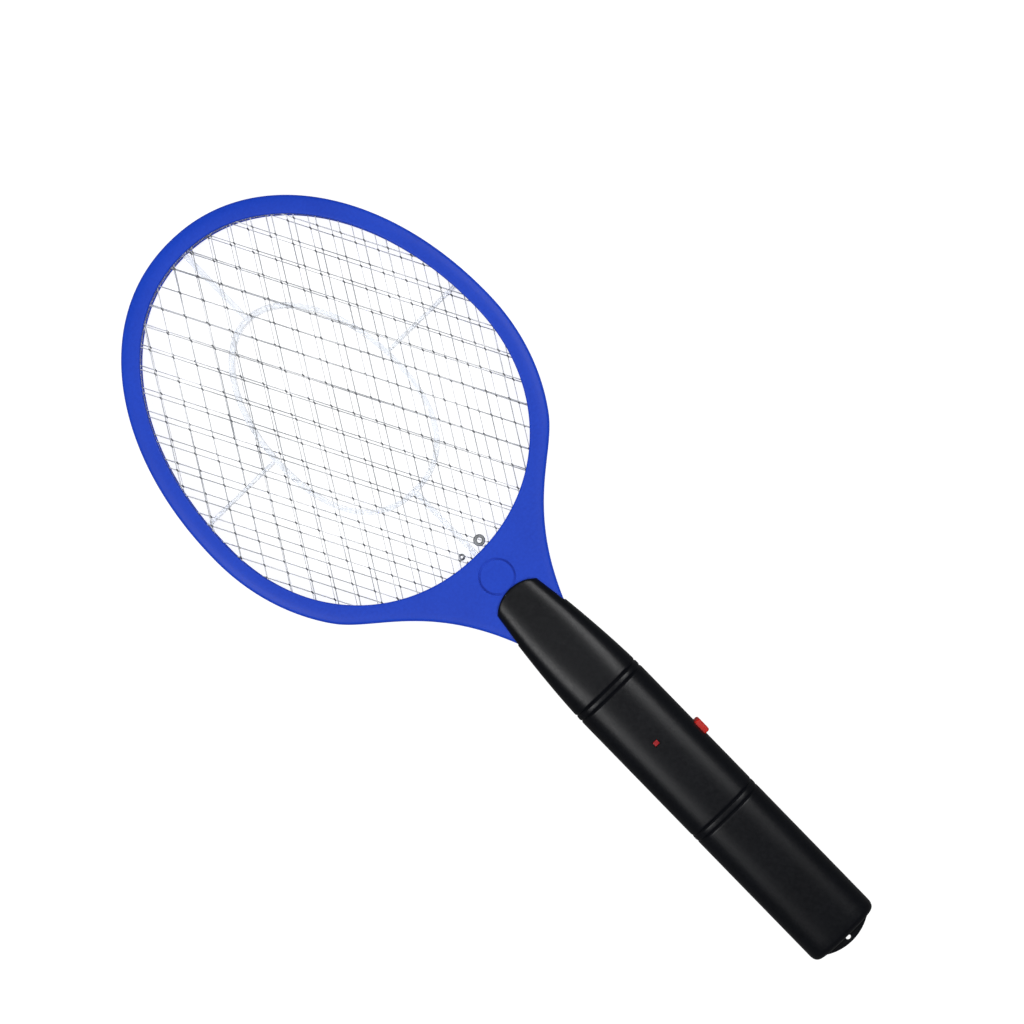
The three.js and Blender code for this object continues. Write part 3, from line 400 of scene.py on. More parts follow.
def expanded_metal_tree():
    """Zigzag strands side by side, cut off inside the frame's pocket, with a thickened bond where two meet."""
    tree, given = start_tree("expanded_metal", "Sheet", {
        "Half Cell Width": 5.5 * MM, "Half Cell Length": 9.65 * MM, "Strand Width": 0.5 * MM,
        "Strand Depth": 0.3 * MM, "Lean": 0.5, "Thin": 1.0, "Turn": 0.0, "Node X": 0.0, "Node Y": 0.0,
        "Height": 0.0, "Half Width": 80 * MM, "Top": 110 * MM, "Bottom": 83 * MM, "Centre Y": 100 * MM,
        "Bond Width": 1 * MM, "Bond Length": 2.4 * MM, "Metal": "Material"})
    strands, rows = 34, 26
    fullness = 2.085  # of the egg that the sheet is cut to
    half_x, half_y = given["Half Cell Width"], given["Half Cell Length"]
    low_y = add_node(tree, "ShaderNodeMath", {0: half_y, 1: -rows / 2}, operation="MULTIPLY")
    column = add_node(tree, "GeometryNodeMeshLine", {
        "Count": rows, "Start Location": (0.0, low_y, 0.0), "Offset": (0.0, half_y, 0.0)})
    left_x = add_node(tree, "ShaderNodeMath", {0: half_x, 1: -strands / 2}, operation="MULTIPLY")
    starts = add_node(tree, "GeometryNodeMeshLine", {
        "Count": strands, "Start Location": (left_x, 0.0, 0.0), "Offset": (half_x, 0.0, 0.0)})
    many = add_node(tree, "GeometryNodeInstanceOnPoints", {"Points": starts, "Instance": column})
    lines = add_node(tree, "GeometryNodeRealizeInstances", {0: many})

    # Every other point of a strand is a bend to the right, and neighbours bend in turn.
    index = add_node(tree, "GeometryNodeInputIndex")
    counted = add_node(tree, "ShaderNodeMath", {0: index, 1: 0.5}, operation="ADD")
    share = add_node(tree, "ShaderNodeMath", {0: counted, 1: rows}, operation="DIVIDE")
    strand = add_node(tree, "ShaderNodeMath", {0: share}, operation="FLOOR")
    earlier = add_node(tree, "ShaderNodeMath", {0: strand, 1: rows}, operation="MULTIPLY")
    row = add_node(tree, "ShaderNodeMath", {0: index, 1: earlier}, operation="SUBTRACT")
    step = add_node(tree, "ShaderNodeMath", {0: strand, 1: row}, operation="ADD")
    odd = add_node(tree, "ShaderNodeMath", {0: step, 1: 2.0}, operation="FLOORED_MODULO")
    right = add_node(tree, "ShaderNodeMath", {0: odd, 1: half_x}, operation="MULTIPLY")
    zigzag = add_node(tree, "GeometryNodeSetPosition", {0: lines, "Offset": (right, 0.0, 0.0)})
    bend = add_node(tree, "GeometryNodeStoreNamedAttribute", {0: zigzag, "Name": "bend", "Value": odd},
                    data_type="FLOAT", domain="POINT")
    turned = add_node(tree, "GeometryNodeTransform", {
        0: bend, "Rotation": (0.0, 0.0, given["Turn"]),
        "Translation": (given["Node X"], given["Node Y"], given["Height"])})

    # The sheet is cut to an egg: spread is 1 on its edge and more outside it.
    at = add_node(tree, "ShaderNodeSeparateXYZ", {0: add_node(tree, "GeometryNodeInputPosition")})
    rise = add_node(tree, "ShaderNodeMath", {0: at.outputs[1], 1: given["Centre Y"]}, operation="SUBTRACT")
    up = add_node(tree, "ShaderNodeMath", {0: rise, 1: 0.0}, operation="GREATER_THAN")
    reach = add_node(tree, "ShaderNodeMix", {0: up, 2: given["Bottom"], 3: given["Top"]})
    terms = []
    for distance, limit in ((at.outputs[0], given["Half Width"]), (rise, reach)):
        part = add_node(tree, "ShaderNodeMath", {0: distance, 1: limit}, operation="DIVIDE")
        size = add_node(tree, "ShaderNodeMath", {0: part}, operation="ABSOLUTE")
        terms.append(add_node(tree, "ShaderNodeMath", {0: size, 1: fullness}, operation="POWER"))
    spread = add_node(tree, "ShaderNodeMath", {0: terms[0], 1: terms[1]}, operation="ADD")
    outside, clip = (add_node(tree, "ShaderNodeMath", {0: spread, 1: limit}, operation="GREATER_THAN")
                     for limit in (1.0, 0.97))

    fine = add_node(tree, "GeometryNodeSubdivideMesh", {0: turned, "Level": 3})
    kept = add_node(tree, "GeometryNodeDeleteGeometry", {0: fine, "Selection": outside}, domain="POINT")
    wires = add_node(tree, "GeometryNodeMeshToCurve", {0: kept})
    upright = add_node(tree, "GeometryNodeSetCurveNormal", {0: wires}, mode="Z_UP")
    tilted = add_node(tree, "GeometryNodeSetCurveTilt", {0: upright, "Tilt": given["Lean"]})
    heading = add_node(tree, "ShaderNodeSeparateXYZ", {0: add_node(tree, "GeometryNodeInputTangent")})
    rightward = add_node(tree, "ShaderNodeMath", {0: heading, 1: 0.0}, operation="GREATER_THAN")
    thinness = add_node(tree, "ShaderNodeMix", {0: rightward, 2: 1.0, 3: given["Thin"]})
    section = add_node(tree, "GeometryNodeCurvePrimitiveQuadrilateral", {
        "Width": given["Strand Width"], "Height": given["Strand Depth"]})
    ribbons = add_node(tree, "GeometryNodeCurveToMesh", {
        0: tilted, "Profile Curve": section, "Scale": thinness, "Fill Caps": True})

    clipped = add_node(tree, "GeometryNodeDeleteGeometry", {0: turned, "Selection": clip}, domain="POINT")
    is_bend = add_node(tree, "GeometryNodeInputNamedAttribute", {"Name": "bend"}, data_type="FLOAT")
    straight = add_node(tree, "ShaderNodeMath", {0: is_bend, 1: 0.5}, operation="LESS_THAN")
    ball = add_node(tree, "GeometryNodeMeshUVSphere", {"Segments": 8, "Rings": 5, "Radius": 0.5})
    marked = add_node(tree, "GeometryNodeStoreNamedAttribute", {0: ball, "Name": "bond", "Value": 1.0},
                      data_type="FLOAT", domain="POINT")
    bond_depth = add_node(tree, "ShaderNodeMath", {0: given["Strand Width"], 1: 1.25}, operation="MULTIPLY")
    bonds = add_node(tree, "GeometryNodeInstanceOnPoints", {
        "Points": clipped, "Selection": straight, "Instance": marked, "Rotation": (0.0, 0.0, given["Turn"]),
        "Scale": (given["Bond Width"], given["Bond Length"], bond_depth)})
    joined = add_node(tree, "GeometryNodeJoinGeometry", {0: [ribbons, bonds]})
    return close_tree(tree, joined, given["Metal"])


def tinned_steel(name, colour, dull, bond_grey, roughness):
    """Tin-dipped mild steel: a dull grey metal, darker over some centimetres where the dip ran thin, and drawn
    in a dark grey where the bonds are."""
    material, tree, surface = new_material(name, {"Metallic": 0.2})
    place = add_node(tree, "ShaderNodeTexCoord").outputs["Object"]
    dip = add_node(tree, "ShaderNodeTexNoise", {"Vector": place, "Scale": 1 / (28 * MM), "Detail": 5.0})
    level = add_node(tree, "ShaderNodeMapRange", {"Value": dip, "From Min": 0.38, "From Max": 0.62})
    tint = add_node(tree, "ShaderNodeMix", {
        "Factor": level, 6: linear(dull), 7: linear(colour)}, data_type="RGBA")
    # The bonds are drawn in a dark grey.
    bond = add_node(tree, "ShaderNodeAttribute", attribute_name="bond").outputs["Fac"]
    bond_toned = add_node(tree, "ShaderNodeMix", {"Factor": bond, 6: tint.outputs[2], 7: linear(bond_grey)},
                       data_type="RGBA")
    gloss = add_node(tree, "ShaderNodeMapRange", {
        "Value": dip, "To Min": roughness + 0.1, "To Max": roughness - 0.1})
    set_inputs(tree, surface, {"Base Color": bond_toned.outputs[2], "Roughness": gloss})
    return material


def run_tree(piece, tree, values):
    """Runs a node tree on a piece with its inputs set by name, and keeps the result as a plain mesh."""
    sockets = {item.name: item.identifier for item in tree.interface.items_tree if item.in_out == "INPUT"}
    step = piece.modifiers.new("nodes", "NODES")
    step.node_group = tree
    for label, value in values.items():
        step[sockets[label]] = value
    settle(piece)


grid_steel = tinned_steel("tinned_grid_steel", "#e2e4e7", "#adb0b4", "#606266", 0.5)
expanded_metal = expanded_metal_tree()
GRIDS = {
    "rear": {"z": 9.6, "cell": (10.59, 18.79), "turn": -1.6, "node": (4.89, 4.02), "thin": 0.6},
    "middle": {"z": 14.0, "cell": (11.03, 19.38), "turn": -1.65, "node": (5.94, -0.14), "thin": 1.0},
    "front": {"z": 18.4, "cell": (10.99, 19.30), "turn": -1.65, "node": (6.02, -0.47), "thin": 1.0},
}
STRAND = {"width": 0.42, "depth": 0.24, "lean": 0.5}
BOND = {"width": 0.85, "length": 2.0}
CLAMPED = 2.4  # how far a sheet reaches into the frame's pocket
opening_half, opening_top, opening_bottom = EGG["opening"][:3]
for layer, sheet in GRIDS.items():
    grid = as_object(f"{layer}_grid_mesh", bpy.data.meshes.new(f"{layer}_grid_mesh"))
    cell_width, cell_length = sheet["cell"]
    node_x, node_y = sheet["node"]
    run_tree(grid, expanded_metal, {
        "Half Cell Width": cell_width / 2 * MM, "Half Cell Length": cell_length / 2 * MM,
        "Strand Width": STRAND["width"] * MM, "Strand Depth": STRAND["depth"] * MM, "Lean": STRAND["lean"],
        "Thin": sheet["thin"], "Turn": math.radians(sheet["turn"]), "Node X": node_x * MM,
        "Node Y": (EGG_Y + node_y) * MM, "Height": sheet["z"] * MM,
        "Half Width": (opening_half + CLAMPED) * MM, "Top": (opening_top + CLAMPED) * MM,
        "Bottom": (opening_bottom + CLAMPED) * MM, "Centre Y": EGG_Y * MM,
        "Bond Width": BOND["width"] * MM, "Bond Length": BOND["length"] * MM, "Metal": grid_steel})
    finish_piece(grid, grid_steel, [f"{layer}_grid"], corner=50)


# ---- Spacers: two frames moulded in clear polystyrene that keep the grids apart. Each has a ring in the pocket,
# an egg-shaped ring in the middle and four spokes between the two.
def clear_polystyrene_plastic():
    """Clear polystyrene, a little milky from regrind: it passes most light and bends it at its edges."""
    material, tree, surface = new_material("clear_polystyrene", {"IOR": 1.08, "Transmission Weight": 0.85})
    place = add_node(tree, "ShaderNodeTexCoord").outputs["Object"]
    haze = add_node(tree, "ShaderNodeTexNoise", {"Vector": place, "Scale": 1 / (9 * MM), "Detail": 3.0})
    tint = add_node(tree, "ShaderNodeMix", {
        "Factor": haze, 6: linear("#f6f9ff"), 7: linear("#fdfeff")}, data_type="RGBA")
    gloss = add_node(tree, "ShaderNodeMapRange", {"Value": haze, "To Min": 0.1, "To Max": 0.25})
    set_inputs(tree, surface, {"Base Color": tint.outputs[2], "Roughness": gloss})
    return material


def ring_plate(name, outer, inner, low, high, edge):
    """A flat ring between two outlines of the same number of points, with rounded edges."""
    points = []
    side = edge_profile(low, high, edge, 3)
    for loop, way in ((outer, 1), (inner, -1)):
        for distance, z in side[::way]:
            points.append(np.column_stack([inset(loop, way * distance), np.full(len(loop), z)]))
    return as_object(name, mesh_of(name, np.concatenate(points), ring_faces(len(points), len(outer))))


def block(across, stations, heights, edge=0.0):
    """A box between two X values, two stations and two heights."""
    (left, right), (front, back) = across, stations
    loop = np.array([(left, TIP_Y - back), (right, TIP_Y - back), (right, TIP_Y - front), (left, TIP_Y - front)])
    return slab("block", loop, *heights, edge)


SPACER = {"station": 108.0, "half_width": 35.0, "top": 59.0, "bottom": 49.0, "powers": (2.0, 2.3)}
SPACER_BAND = {"width": 2.3, "low": 0.6, "high": 3.8, "edge": 0.25, "pocket": (2.6, 0.8)}
SPOKE = {"side_station": 103.3, "side_width": 1.4, "end_width": 2.4, "overlap": 1.5}
full_turn = np.linspace(0, 2 * math.pi, 300, endpoint=False)


def middle_egg(grow):
    """The spacer's inner egg, grown or shrunk all round."""
    loop = egg_edge(full_turn, SPACER["half_width"] + grow, SPACER["top"] + grow, SPACER["bottom"] + grow,
                    *SPACER["powers"])
    return loop + (0, EGG["station"] - SPACER["station"])


def opening_egg(grow):
    """The frame's opening, grown all round."""
    half, top, bottom, *powers = EGG["opening"]
    return egg_edge(full_turn, half + grow, top + grow, bottom + grow, *powers)


clear_polystyrene = clear_polystyrene_plastic()
side_stations = tuple(SPOKE["side_station"] + way * SPOKE["side_width"] / 2 for way in (-1, 1))
end_across = (-SPOKE["end_width"] / 2, SPOKE["end_width"] / 2)
tip_station = EGG["station"] - opening_top - SPOKE["overlap"]
neck_station = EGG["station"] + opening_bottom + SPOKE["overlap"]
side_reach = opening_half + SPOKE["overlap"]
SPOKE_SPANS = (
    (end_across, (tip_station, SPACER["station"] - SPACER["top"])),
    (end_across, (SPACER["station"] + SPACER["bottom"], neck_station)),
    ((-side_reach, -SPACER["half_width"]), side_stations),
    ((SPACER["half_width"], side_reach), side_stations),
)
for layer, sign in (("rear", -1), ("front", 1)):
    low, high = sorted(PARTING + sign * SPACER_BAND[level] for level in ("low", "high"))
    edge = SPACER_BAND["edge"]
    outer, inner = (opening_egg(grow) for grow in SPACER_BAND["pocket"])
    spacer = ring_plate(f"{layer}_spacer_frame", outer, inner, low, high, edge)
    outer, inner = (middle_egg(way * SPACER_BAND["width"] / 2) for way in (1, -1))
    middle = ring_plate("middle_ring", outer, inner, low, high, edge)
    spokes = [block(across, stations, (low, high), edge) for across, stations in SPOKE_SPANS]
    carve(spacer, "UNION", middle, *spokes)
    finish_piece(spacer, clear_polystyrene, [f"{layer}_spacer"])


# ---- Grid rivets: a hollow tin-plated steel rivet through each outer grid holds the end of its lead. It is
# pushed through from behind and its end is rolled over in a press. The rear one is smaller.
def plated_steel(name, colour, roughness):
    """Steel with a thin bright plating: clean metal, a little cloudy and uneven."""
    material, tree, surface = new_material(name, {"Metallic": 1.0, "Base Color": linear(colour)})
    place = add_node(tree, "ShaderNodeTexCoord").outputs["Object"]
    cloud = add_node(tree, "ShaderNodeTexNoise", {"Vector": place, "Scale": 1 / (1.5 * MM), "Detail": 5.0})
    gloss = add_node(tree, "ShaderNodeMapRange", {
        "Value": cloud, "To Min": roughness - 0.1, "To Max": roughness + 0.15})
    bump = add_node(tree, "ShaderNodeBump", {"Height": cloud, "Strength": 0.3, "Distance": 0.01 * MM})
    set_inputs(tree, surface, {"Roughness": gloss, "Normal": bump})
    return material


def turned(name, profile, centre, steps=48, along="Z"):
    """A turned piece from pairs of radius and height, on an upright axis or one along the swatter.
    A profile that starts and ends off the axis is closed into a ring."""
    angles = np.linspace(0, 2 * math.pi, steps, endpoint=False)
    points = [np.column_stack([r * np.cos(angles), r * np.sin(angles), np.full(steps, h)]) for r, h in profile]
    faces = ring_faces(len(profile), steps, closed=profile[0][0] > 0)
    points = np.concatenate(points)
    if along == "Y":
        points = points[:, (0, 2, 1)] * (1, -1, 1)
    return as_object(name, mesh_of(name, points + np.array(centre), faces))


RIVET = {"x": 5.6, "station": 193.2, "z": 4.4, "half": 1.0, "grip": 0.42}
RIVET_SIZES = {"rear": {"way": -1, "flange": 1.6, "bore": 0.6}, "front": {"way": 1, "flange": 2.7, "bore": 1.2}}
tin_plate = plated_steel("tin_plated_steel", "#8f9296", 0.35)
for layer, rivet_size in RIVET_SIZES.items():
    way, flange, bore, half = rivet_size["way"], rivet_size["flange"], rivet_size["bore"], RIVET["half"]
    shank, grip = bore + 0.55, RIVET["grip"]
    rolled = [(bore, -half + 0.2), (bore + 0.3, -half), (flange - 0.3, -half + 0.05), (flange, -half + 0.3),
              (flange - 0.2, -grip), (shank, -grip + 0.02), (shank, grip - 0.02), (flange - 0.2, grip),
              (flange, half - 0.3), (flange - 0.3, half - 0.05), (bore + 0.3, half), (bore, half - 0.2)]
    rivet = turned(f"{layer}_grid_eyelet", rolled,
                   (way * RIVET["x"], TIP_Y - RIVET["station"], PARTING + way * RIVET["z"]))
    finish_piece(rivet, tin_plate, [f"{layer}_grid_rivet"])


# ---- Handle shells: a front and a rear half moulded in black ABS, closed along the parting plane. A tongue on
# each laps over the blue neck, two pairs of grooves run round the barrel, and the front one has the hanging lug.
BARREL = {"half_width": 18.4, "half_depth": 14.0, "power": 2.9, "neck_power": 4.3, "taper_end": 286.0}
NECK_TAPER = {"width": (5.4, 62, 1.6), "depth": (4, 67, 1.5), "fullness": 46}  # amount, length and curve
MOUTH = 239.5
BARREL_END = 435.0
END_TURN = {"from": 431.4, "across": 2.2, "deep": 5.2}
GROOVES = (280.5, 283.75, 355.5, 358.9)
GROOVE = {"depth": 0.55, "width": 0.48}
WALL = 2.0
END_WALL = 2.5
NECK_CLEAR = 7.3


def barrel_size(station):
    """Half the width, half the depth and the fullness of the barrel's oval at a station."""
    taper = max(0.0, BARREL["taper_end"] - station)
    turn = min(1.0, max(0.0, (station - END_TURN["from"]) / (BARREL_END - END_TURN["from"])))
    rounded = 1 - math.sqrt(1 - turn ** 2)
    groove = sum(GROOVE["depth"] * math.exp(-((station - g) / GROOVE["width"]) ** 2) for g in GROOVES)
    squared = min(1.0, taper / NECK_TAPER["fullness"])
    power = BARREL["power"] + (BARREL["neck_power"] - BARREL["power"]) * squared
    half = []
    for side, turned_in in (("width", "across"), ("depth", "deep")):
        amount, length, curve = NECK_TAPER[side]
        narrowed = amount * (taper / length) ** curve + groove + END_TURN[turned_in] * rounded
        half.append(BARREL[f"half_{side}"] - narrowed)
    return *half, power


def barrel_arc(station, wall, count=84):
    """Half of the barrel's oval from its right side over to its left, as evenly spaced pairs of X and height."""
    half_width, half_depth, power = barrel_size(station)
    angles = np.linspace(0, math.pi, 1500)
    x = (half_width - wall) * np.sign(np.cos(angles)) * np.abs(np.cos(angles)) ** (2 / power)
    rise = np.maximum((half_depth - wall) * np.sin(angles) ** (2 / power), SEAM)
    length = np.concatenate([[0], np.cumsum(np.hypot(np.diff(x), np.diff(rise)))])
    even = np.linspace(0, length[-1], count)
    return np.stack([np.interp(even, length, x), np.interp(even, length, rise)], 1)


def barrel_stations(first, last):
    """Stations for the barrel's sections: close together in the grooves and the rounded end."""
    places = list(np.arange(first, END_TURN["from"], 4.0)) + [END_TURN["from"]]
    places += [groove + step for groove in GROOVES for step in np.arange(-1.25, 1.3, 0.25)]
    turn = np.sin(np.linspace(0, math.pi / 2, 10))
    places += list(END_TURN["from"] + (BARREL_END - END_TURN["from"]) * turn)
    places = [p for p in places if first <= p <= last]
    return sorted({round(p, 3) for p in [first, *places, last]})


def barrel_half(name, sign, first):
    """Half of the barrel as a closed channel with an end wall."""
    stations = barrel_stations(first, BARREL_END)
    solid_from = next(station for station in stations if station >= BARREL_END - END_WALL) - 0.01
    points = []
    for station in sorted([*stations, solid_from]):
        outer = barrel_arc(station, 0)
        inner = barrel_arc(min(station, END_TURN["from"]), WALL)[::-1]
        if station >= solid_from:
            inner = np.stack([outer[::-1, 0] * 0.9, np.full(len(outer), SEAM)], 1)
        loop = np.concatenate([outer, inner])
        along = np.full(len(loop), TIP_Y - station)
        points.append(np.column_stack([loop[:, 0], along, PARTING + sign * loop[:, 1]]))
    count = len(points[0])
    half = count // 2
    faces = ring_faces(len(points), count, closed=False)
    for start in (0, (len(points) - 1) * count):
        faces += [(start + i, start + i + 1, start + count - 2 - i, start + count - 1 - i)
                  for i in range(half - 1)]
    return as_object(name, mesh_of(name, np.concatenate(points), faces))


def barrel_height(x, station):
    """The barrel's surface above the parting plane at a place."""
    half_width, half_depth, power = barrel_size(station)
    return half_depth * max(0.0, 1 - min(1.0, abs(x) / half_width) ** power) ** (1 / power)


def side_limit(station):
    """How far out the barrel's surface stays above the neck's face."""
    half_width, half_depth, power = barrel_size(station)
    return half_width * (1 - (NECK_CLEAR / half_depth) ** power) ** (1 / power)


TONGUE = {"half_width": 12.9, "front": 218.3, "edge": 0.8, "deepest": 12.5, "run": 13.2,
          "rows": (0, 0.03, 0.12, 0.26, 0.45, 0.8, 1.6, 3, 5, 8, 12, None)}
TONGUE_CORNERS = (((-12.9, 225.2), (-12.8, 223.4), (-11.2, 222.4)), ((-11.2, 222.4), (-6.4, 218.3), (0, 218.3)))


def tongue(sign):
    """The tongue over the neck: a bowed front edge with two rounded corners, and the barrel's surface on top.
    Its rows follow the front edge at growing distances, and the last one is the barrel's mouth."""
    front = []
    for a, b, c in np.array(TONGUE_CORNERS):
        front += [(1 - u) ** 2 * a + 2 * (1 - u) * u * b + u * u * c for u in np.linspace(0, 1, 22)[:-1]]
    front = np.array([*front, (0.0, TONGUE["front"])])
    front = np.concatenate([front, front[-2::-1] * (-1, 1)])
    edge = TONGUE["edge"]
    rows = []
    for depth in TONGUE["rows"]:
        row = []
        for x, station in front:
            back = np.array((x / TONGUE["half_width"] * side_limit(MOUTH), MOUTH))
            start = np.array((max(-1, min(1, x / side_limit(station))) * side_limit(station), station))
            length = np.linalg.norm(back - start)
            share = 1.0 if depth is None else depth / TONGUE["deepest"] * min(1, TONGUE["run"] / length)
            at = start + (back - start) * share
            drop = edge * (1 - math.sqrt(1 - (1 - min(1, share * length / edge)) ** 2))
            rise = max(NECK_CLEAR + 0.02, barrel_height(at[0], at[1]) - drop)
            row.append((at[0], TIP_Y - at[1], PARTING + sign * rise))
        rows.append(row)
    top = np.array(rows)
    bottom = top * (1, 1, 0) + (0, 0, PARTING + sign * NECK_CLEAR)
    deep, wide = top.shape[:2]
    faces = [(r * wide + c, r * wide + c + 1, (r + 1) * wide + c + 1, (r + 1) * wide + c)
             for r in range(deep - 1) for c in range(wide - 1)]
    under = deep * wide
    faces += [tuple(under + i for i in face[::-1]) for face in faces]
    border = [c for c in range(wide)] + [r * wide + wide - 1 for r in range(1, deep)]
    border += [(deep - 1) * wide + c for c in range(wide - 2, -1, -1)]
    border += [r * wide for r in range(deep - 2, 0, -1)]
    faces += [(a, b, under + b, under + a) for a, b in zip(border, border[1:] + border[:1])]
    points = np.concatenate([top.reshape(-1, 3), bottom.reshape(-1, 3)])
    return as_object("tongue", mesh_of("tongue", points, faces))


def gather(piece, *others):
    """Adds other objects' meshes to a piece, as they are, and removes those objects."""
    whole = bmesh.new()
    for part in (piece, *others):
        whole.from_mesh(part.data)
    whole.to_mesh(piece.data)
    whole.free()
    for part in others:
        bpy.data.objects.remove(part)


BUTTON = {"station": 322.75, "half_length": 3.6, "half_height": 6.0, "inner": 13.8, "outer": 20.6, "gap": 0.3}
LED = {"x": -0.8, "station": 313.0, "half_x": 1.25, "half_y": 1.1, "gap": 0.2}
DOOR_FROM = 362.3
DOOR_TOP = 7.85
DOOR_GAP = 0.3
SHELL_SCREWS = ((6.6, 252.0, 4.6, 6.6), (12.0, 350.0, 5.0, 13.8))  # x, station, sink and top of the boss
SINK_RADIUS = 2.9
BOSS_RADIUS = 3.7
LUG = {"end": 440.0, "half_width": 15.4, "root": 434.5, "low": 12.6, "high": 15.6, "hole": (437.75, 1.3),
       "foot": 10.5, "edge": 0.4}


def button_way():
    """The hole in the side wall that the push button slides in."""
    reach, gap = BUTTON["half_length"] + BUTTON["gap"], BUTTON["half_height"] + BUTTON["gap"]
    return block((10, 30), (BUTTON["station"] - reach, BUTTON["station"] + reach), (PARTING - gap, PARTING + gap))


def lug_outline(front_station):
    """The hanging lug seen from the front: straight sides, then one flat arc."""
    rise = LUG["end"] - LUG["root"]
    radius = (LUG["half_width"] ** 2 + rise ** 2) / (2 * rise)
    sweep = math.asin(LUG["half_width"] / radius)
    arc = [(radius * math.sin(a), LUG["end"] - radius + radius * math.cos(a))
           for a in np.linspace(-sweep, sweep, 40)]
    arc = [(x, station) for x, station in arc if station > front_station + 0.05]
    edge = [(arc[0][0], front_station), *arc, (arc[-1][0], front_station)]
    return np.array([(x, TIP_Y - station) for x, station in edge])


black_abs = moulded_plastic("black_abs", "#090b10", "#06070b", 0.33, 1.54, 0.8, 0.03, 0.24)

rear_shell = barrel_half("handle_rear_barrel", -1, MOUTH)
cuts = [button_way(), block((-30, 30), (DOOR_FROM - DOOR_GAP, 450), (-10, DOOR_TOP + DOOR_GAP))]
cuts += [post(side * x, station, SINK_RADIUS, -1, sink) for x, station, sink, _ in SHELL_SCREWS
         for side in (-1, 1)]
carve(rear_shell, "DIFFERENCE", *cuts)
bosses = [post(side * x, station, BOSS_RADIUS, sink, top) for x, station, sink, top in SHELL_SCREWS
          for side in (-1, 1)]
gather(rear_shell, tongue(-1), *bosses)
finish_piece(rear_shell, black_abs, ["handle_rear_shell"])

front_shell = barrel_half("handle_front_barrel", 1, MOUTH)
led_x, led_y = LED["half_x"] + LED["gap"], LED["half_y"] + LED["gap"]
led_way = block((LED["x"] - led_x, LED["x"] + led_x),
                (LED["station"] - led_y, LED["station"] + led_y), (20, 30))
carve(front_shell, "DIFFERENCE", button_way(), led_way)
lug = slab("lug", lug_outline(BARREL_END + 0.3), LUG["low"], LUG["high"], LUG["edge"])
lug_foot = block((-LUG["foot"], LUG["foot"]), (BARREL_END - 1, BARREL_END + 1),
                 (PARTING + 0.2, LUG["high"] - LUG["edge"]))
carve(lug, "UNION", lug_foot)
carve(lug, "DIFFERENCE", post(0, *LUG["hole"], 0, 28))
gather(front_shell, tongue(1), lug)
finish_piece(front_shell, black_abs, ["handle_front_shell"])


# ---- Battery door: the lower rear of the handle, moulded in the same black ABS. It slides off over the handle's
# end on a lip along each side, and has a latch tab and a sunk thumb pad with raised ribs.
THUMB = {"from": 365.5, "pitch": 2.3, "ribs": 6, "half_width": 8.5, "floor": 0.9,
         "first_rib": 0.7, "spare": 0.4, "half_thickness": 0.7}
LATCH = {"half_width": 5.0, "ahead": 4.8, "behind": 3.0, "heights": (2.5, 3.9), "edge": 0.3}


def thumb_rib_tree():
    """A row of raised lens-shaped ribs in the thumb pad."""
    tree, given = start_tree("thumb_ribs", "Ribs", {
        "First": 0.0, "Pitch": 2.3 * MM, "Half Width": 8 * MM, "Half Thickness": 0.5 * MM, "Height": 0.9 * MM,
        "Count": 6, "Plastic": "Material"})
    back = add_node(tree, "ShaderNodeMath", {0: given["Pitch"], 1: -1.0}, operation="MULTIPLY")
    row = add_node(tree, "GeometryNodeMeshLine", {
        "Count": given["Count"], "Start Location": (0.0, given["First"], given["Height"]),
        "Offset": (0.0, back, 0.0)})
    lens = add_node(tree, "GeometryNodeMeshUVSphere", {"Segments": 24, "Rings": 12, "Radius": 1.0})
    thick = given["Half Thickness"]
    ribs = add_node(tree, "GeometryNodeInstanceOnPoints", {
        "Points": row, "Instance": lens, "Scale": (given["Half Width"], thick, thick)})
    return close_tree(tree, ribs, given["Plastic"])


DOOR_LIP = {"station": 400.0, "low": 6.85, "high": 10.5, "outer": 2.3, "inner": 3.5}


def side_lip(side):
    """The wall inside the shells that the door slides on, along one side."""
    half_width, half_depth, power = barrel_size(DOOR_LIP["station"])
    heights = np.linspace(DOOR_LIP["low"], DOOR_LIP["high"], 8)
    rise = PARTING - heights

    def reach(wall):
        return (half_width - wall) * (1 - (rise / (half_depth - wall)) ** power) ** (1 / power)

    outer, inner = (np.stack([reach(DOOR_LIP[face]), heights], 1) for face in ("outer", "inner"))
    outline = np.concatenate([outer, inner[::-1]])
    points = [np.column_stack([side * outline[:, 0], np.full(len(outline), TIP_Y - station), outline[:, 1]])
              for station in (DOOR_FROM + 2, BARREL_END - 5)]
    count = len(outline)
    faces = ring_faces(2, count, closed=False) + [tuple(range(count))[::-1], tuple(range(count, 2 * count))]
    return as_object("lip", mesh_of("lip", np.concatenate(points), faces))


door = barrel_half("battery_cover", -1, DOOR_FROM)
pad_length = THUMB["pitch"] * (THUMB["ribs"] + THUMB["spare"])
pad = block((-THUMB["half_width"] - 1, THUMB["half_width"] + 1),
            (THUMB["from"], THUMB["from"] + pad_length), (-2, THUMB["floor"]))
carve(door, "DIFFERENCE", block((-30, 30), (340, 450), (DOOR_TOP, 30)), pad)
ribs = as_object("thumb_ribs", bpy.data.meshes.new("thumb_ribs"))
run_tree(ribs, thumb_rib_tree(), {
    "First": (TIP_Y - THUMB["from"] - THUMB["first_rib"] * THUMB["pitch"]) * MM, "Pitch": THUMB["pitch"] * MM,
    "Half Width": THUMB["half_width"] * MM, "Half Thickness": THUMB["half_thickness"] * MM,
    "Height": THUMB["floor"] * MM,
    "Count": THUMB["ribs"], "Plastic": black_abs})
latch = block((-LATCH["half_width"], LATCH["half_width"]),
              (DOOR_FROM - LATCH["ahead"], DOOR_FROM + LATCH["behind"]), LATCH["heights"], LATCH["edge"])
gather(door, side_lip(-1), side_lip(1), latch, ribs)
finish_piece(door, black_abs, ["battery_door"], body="door")


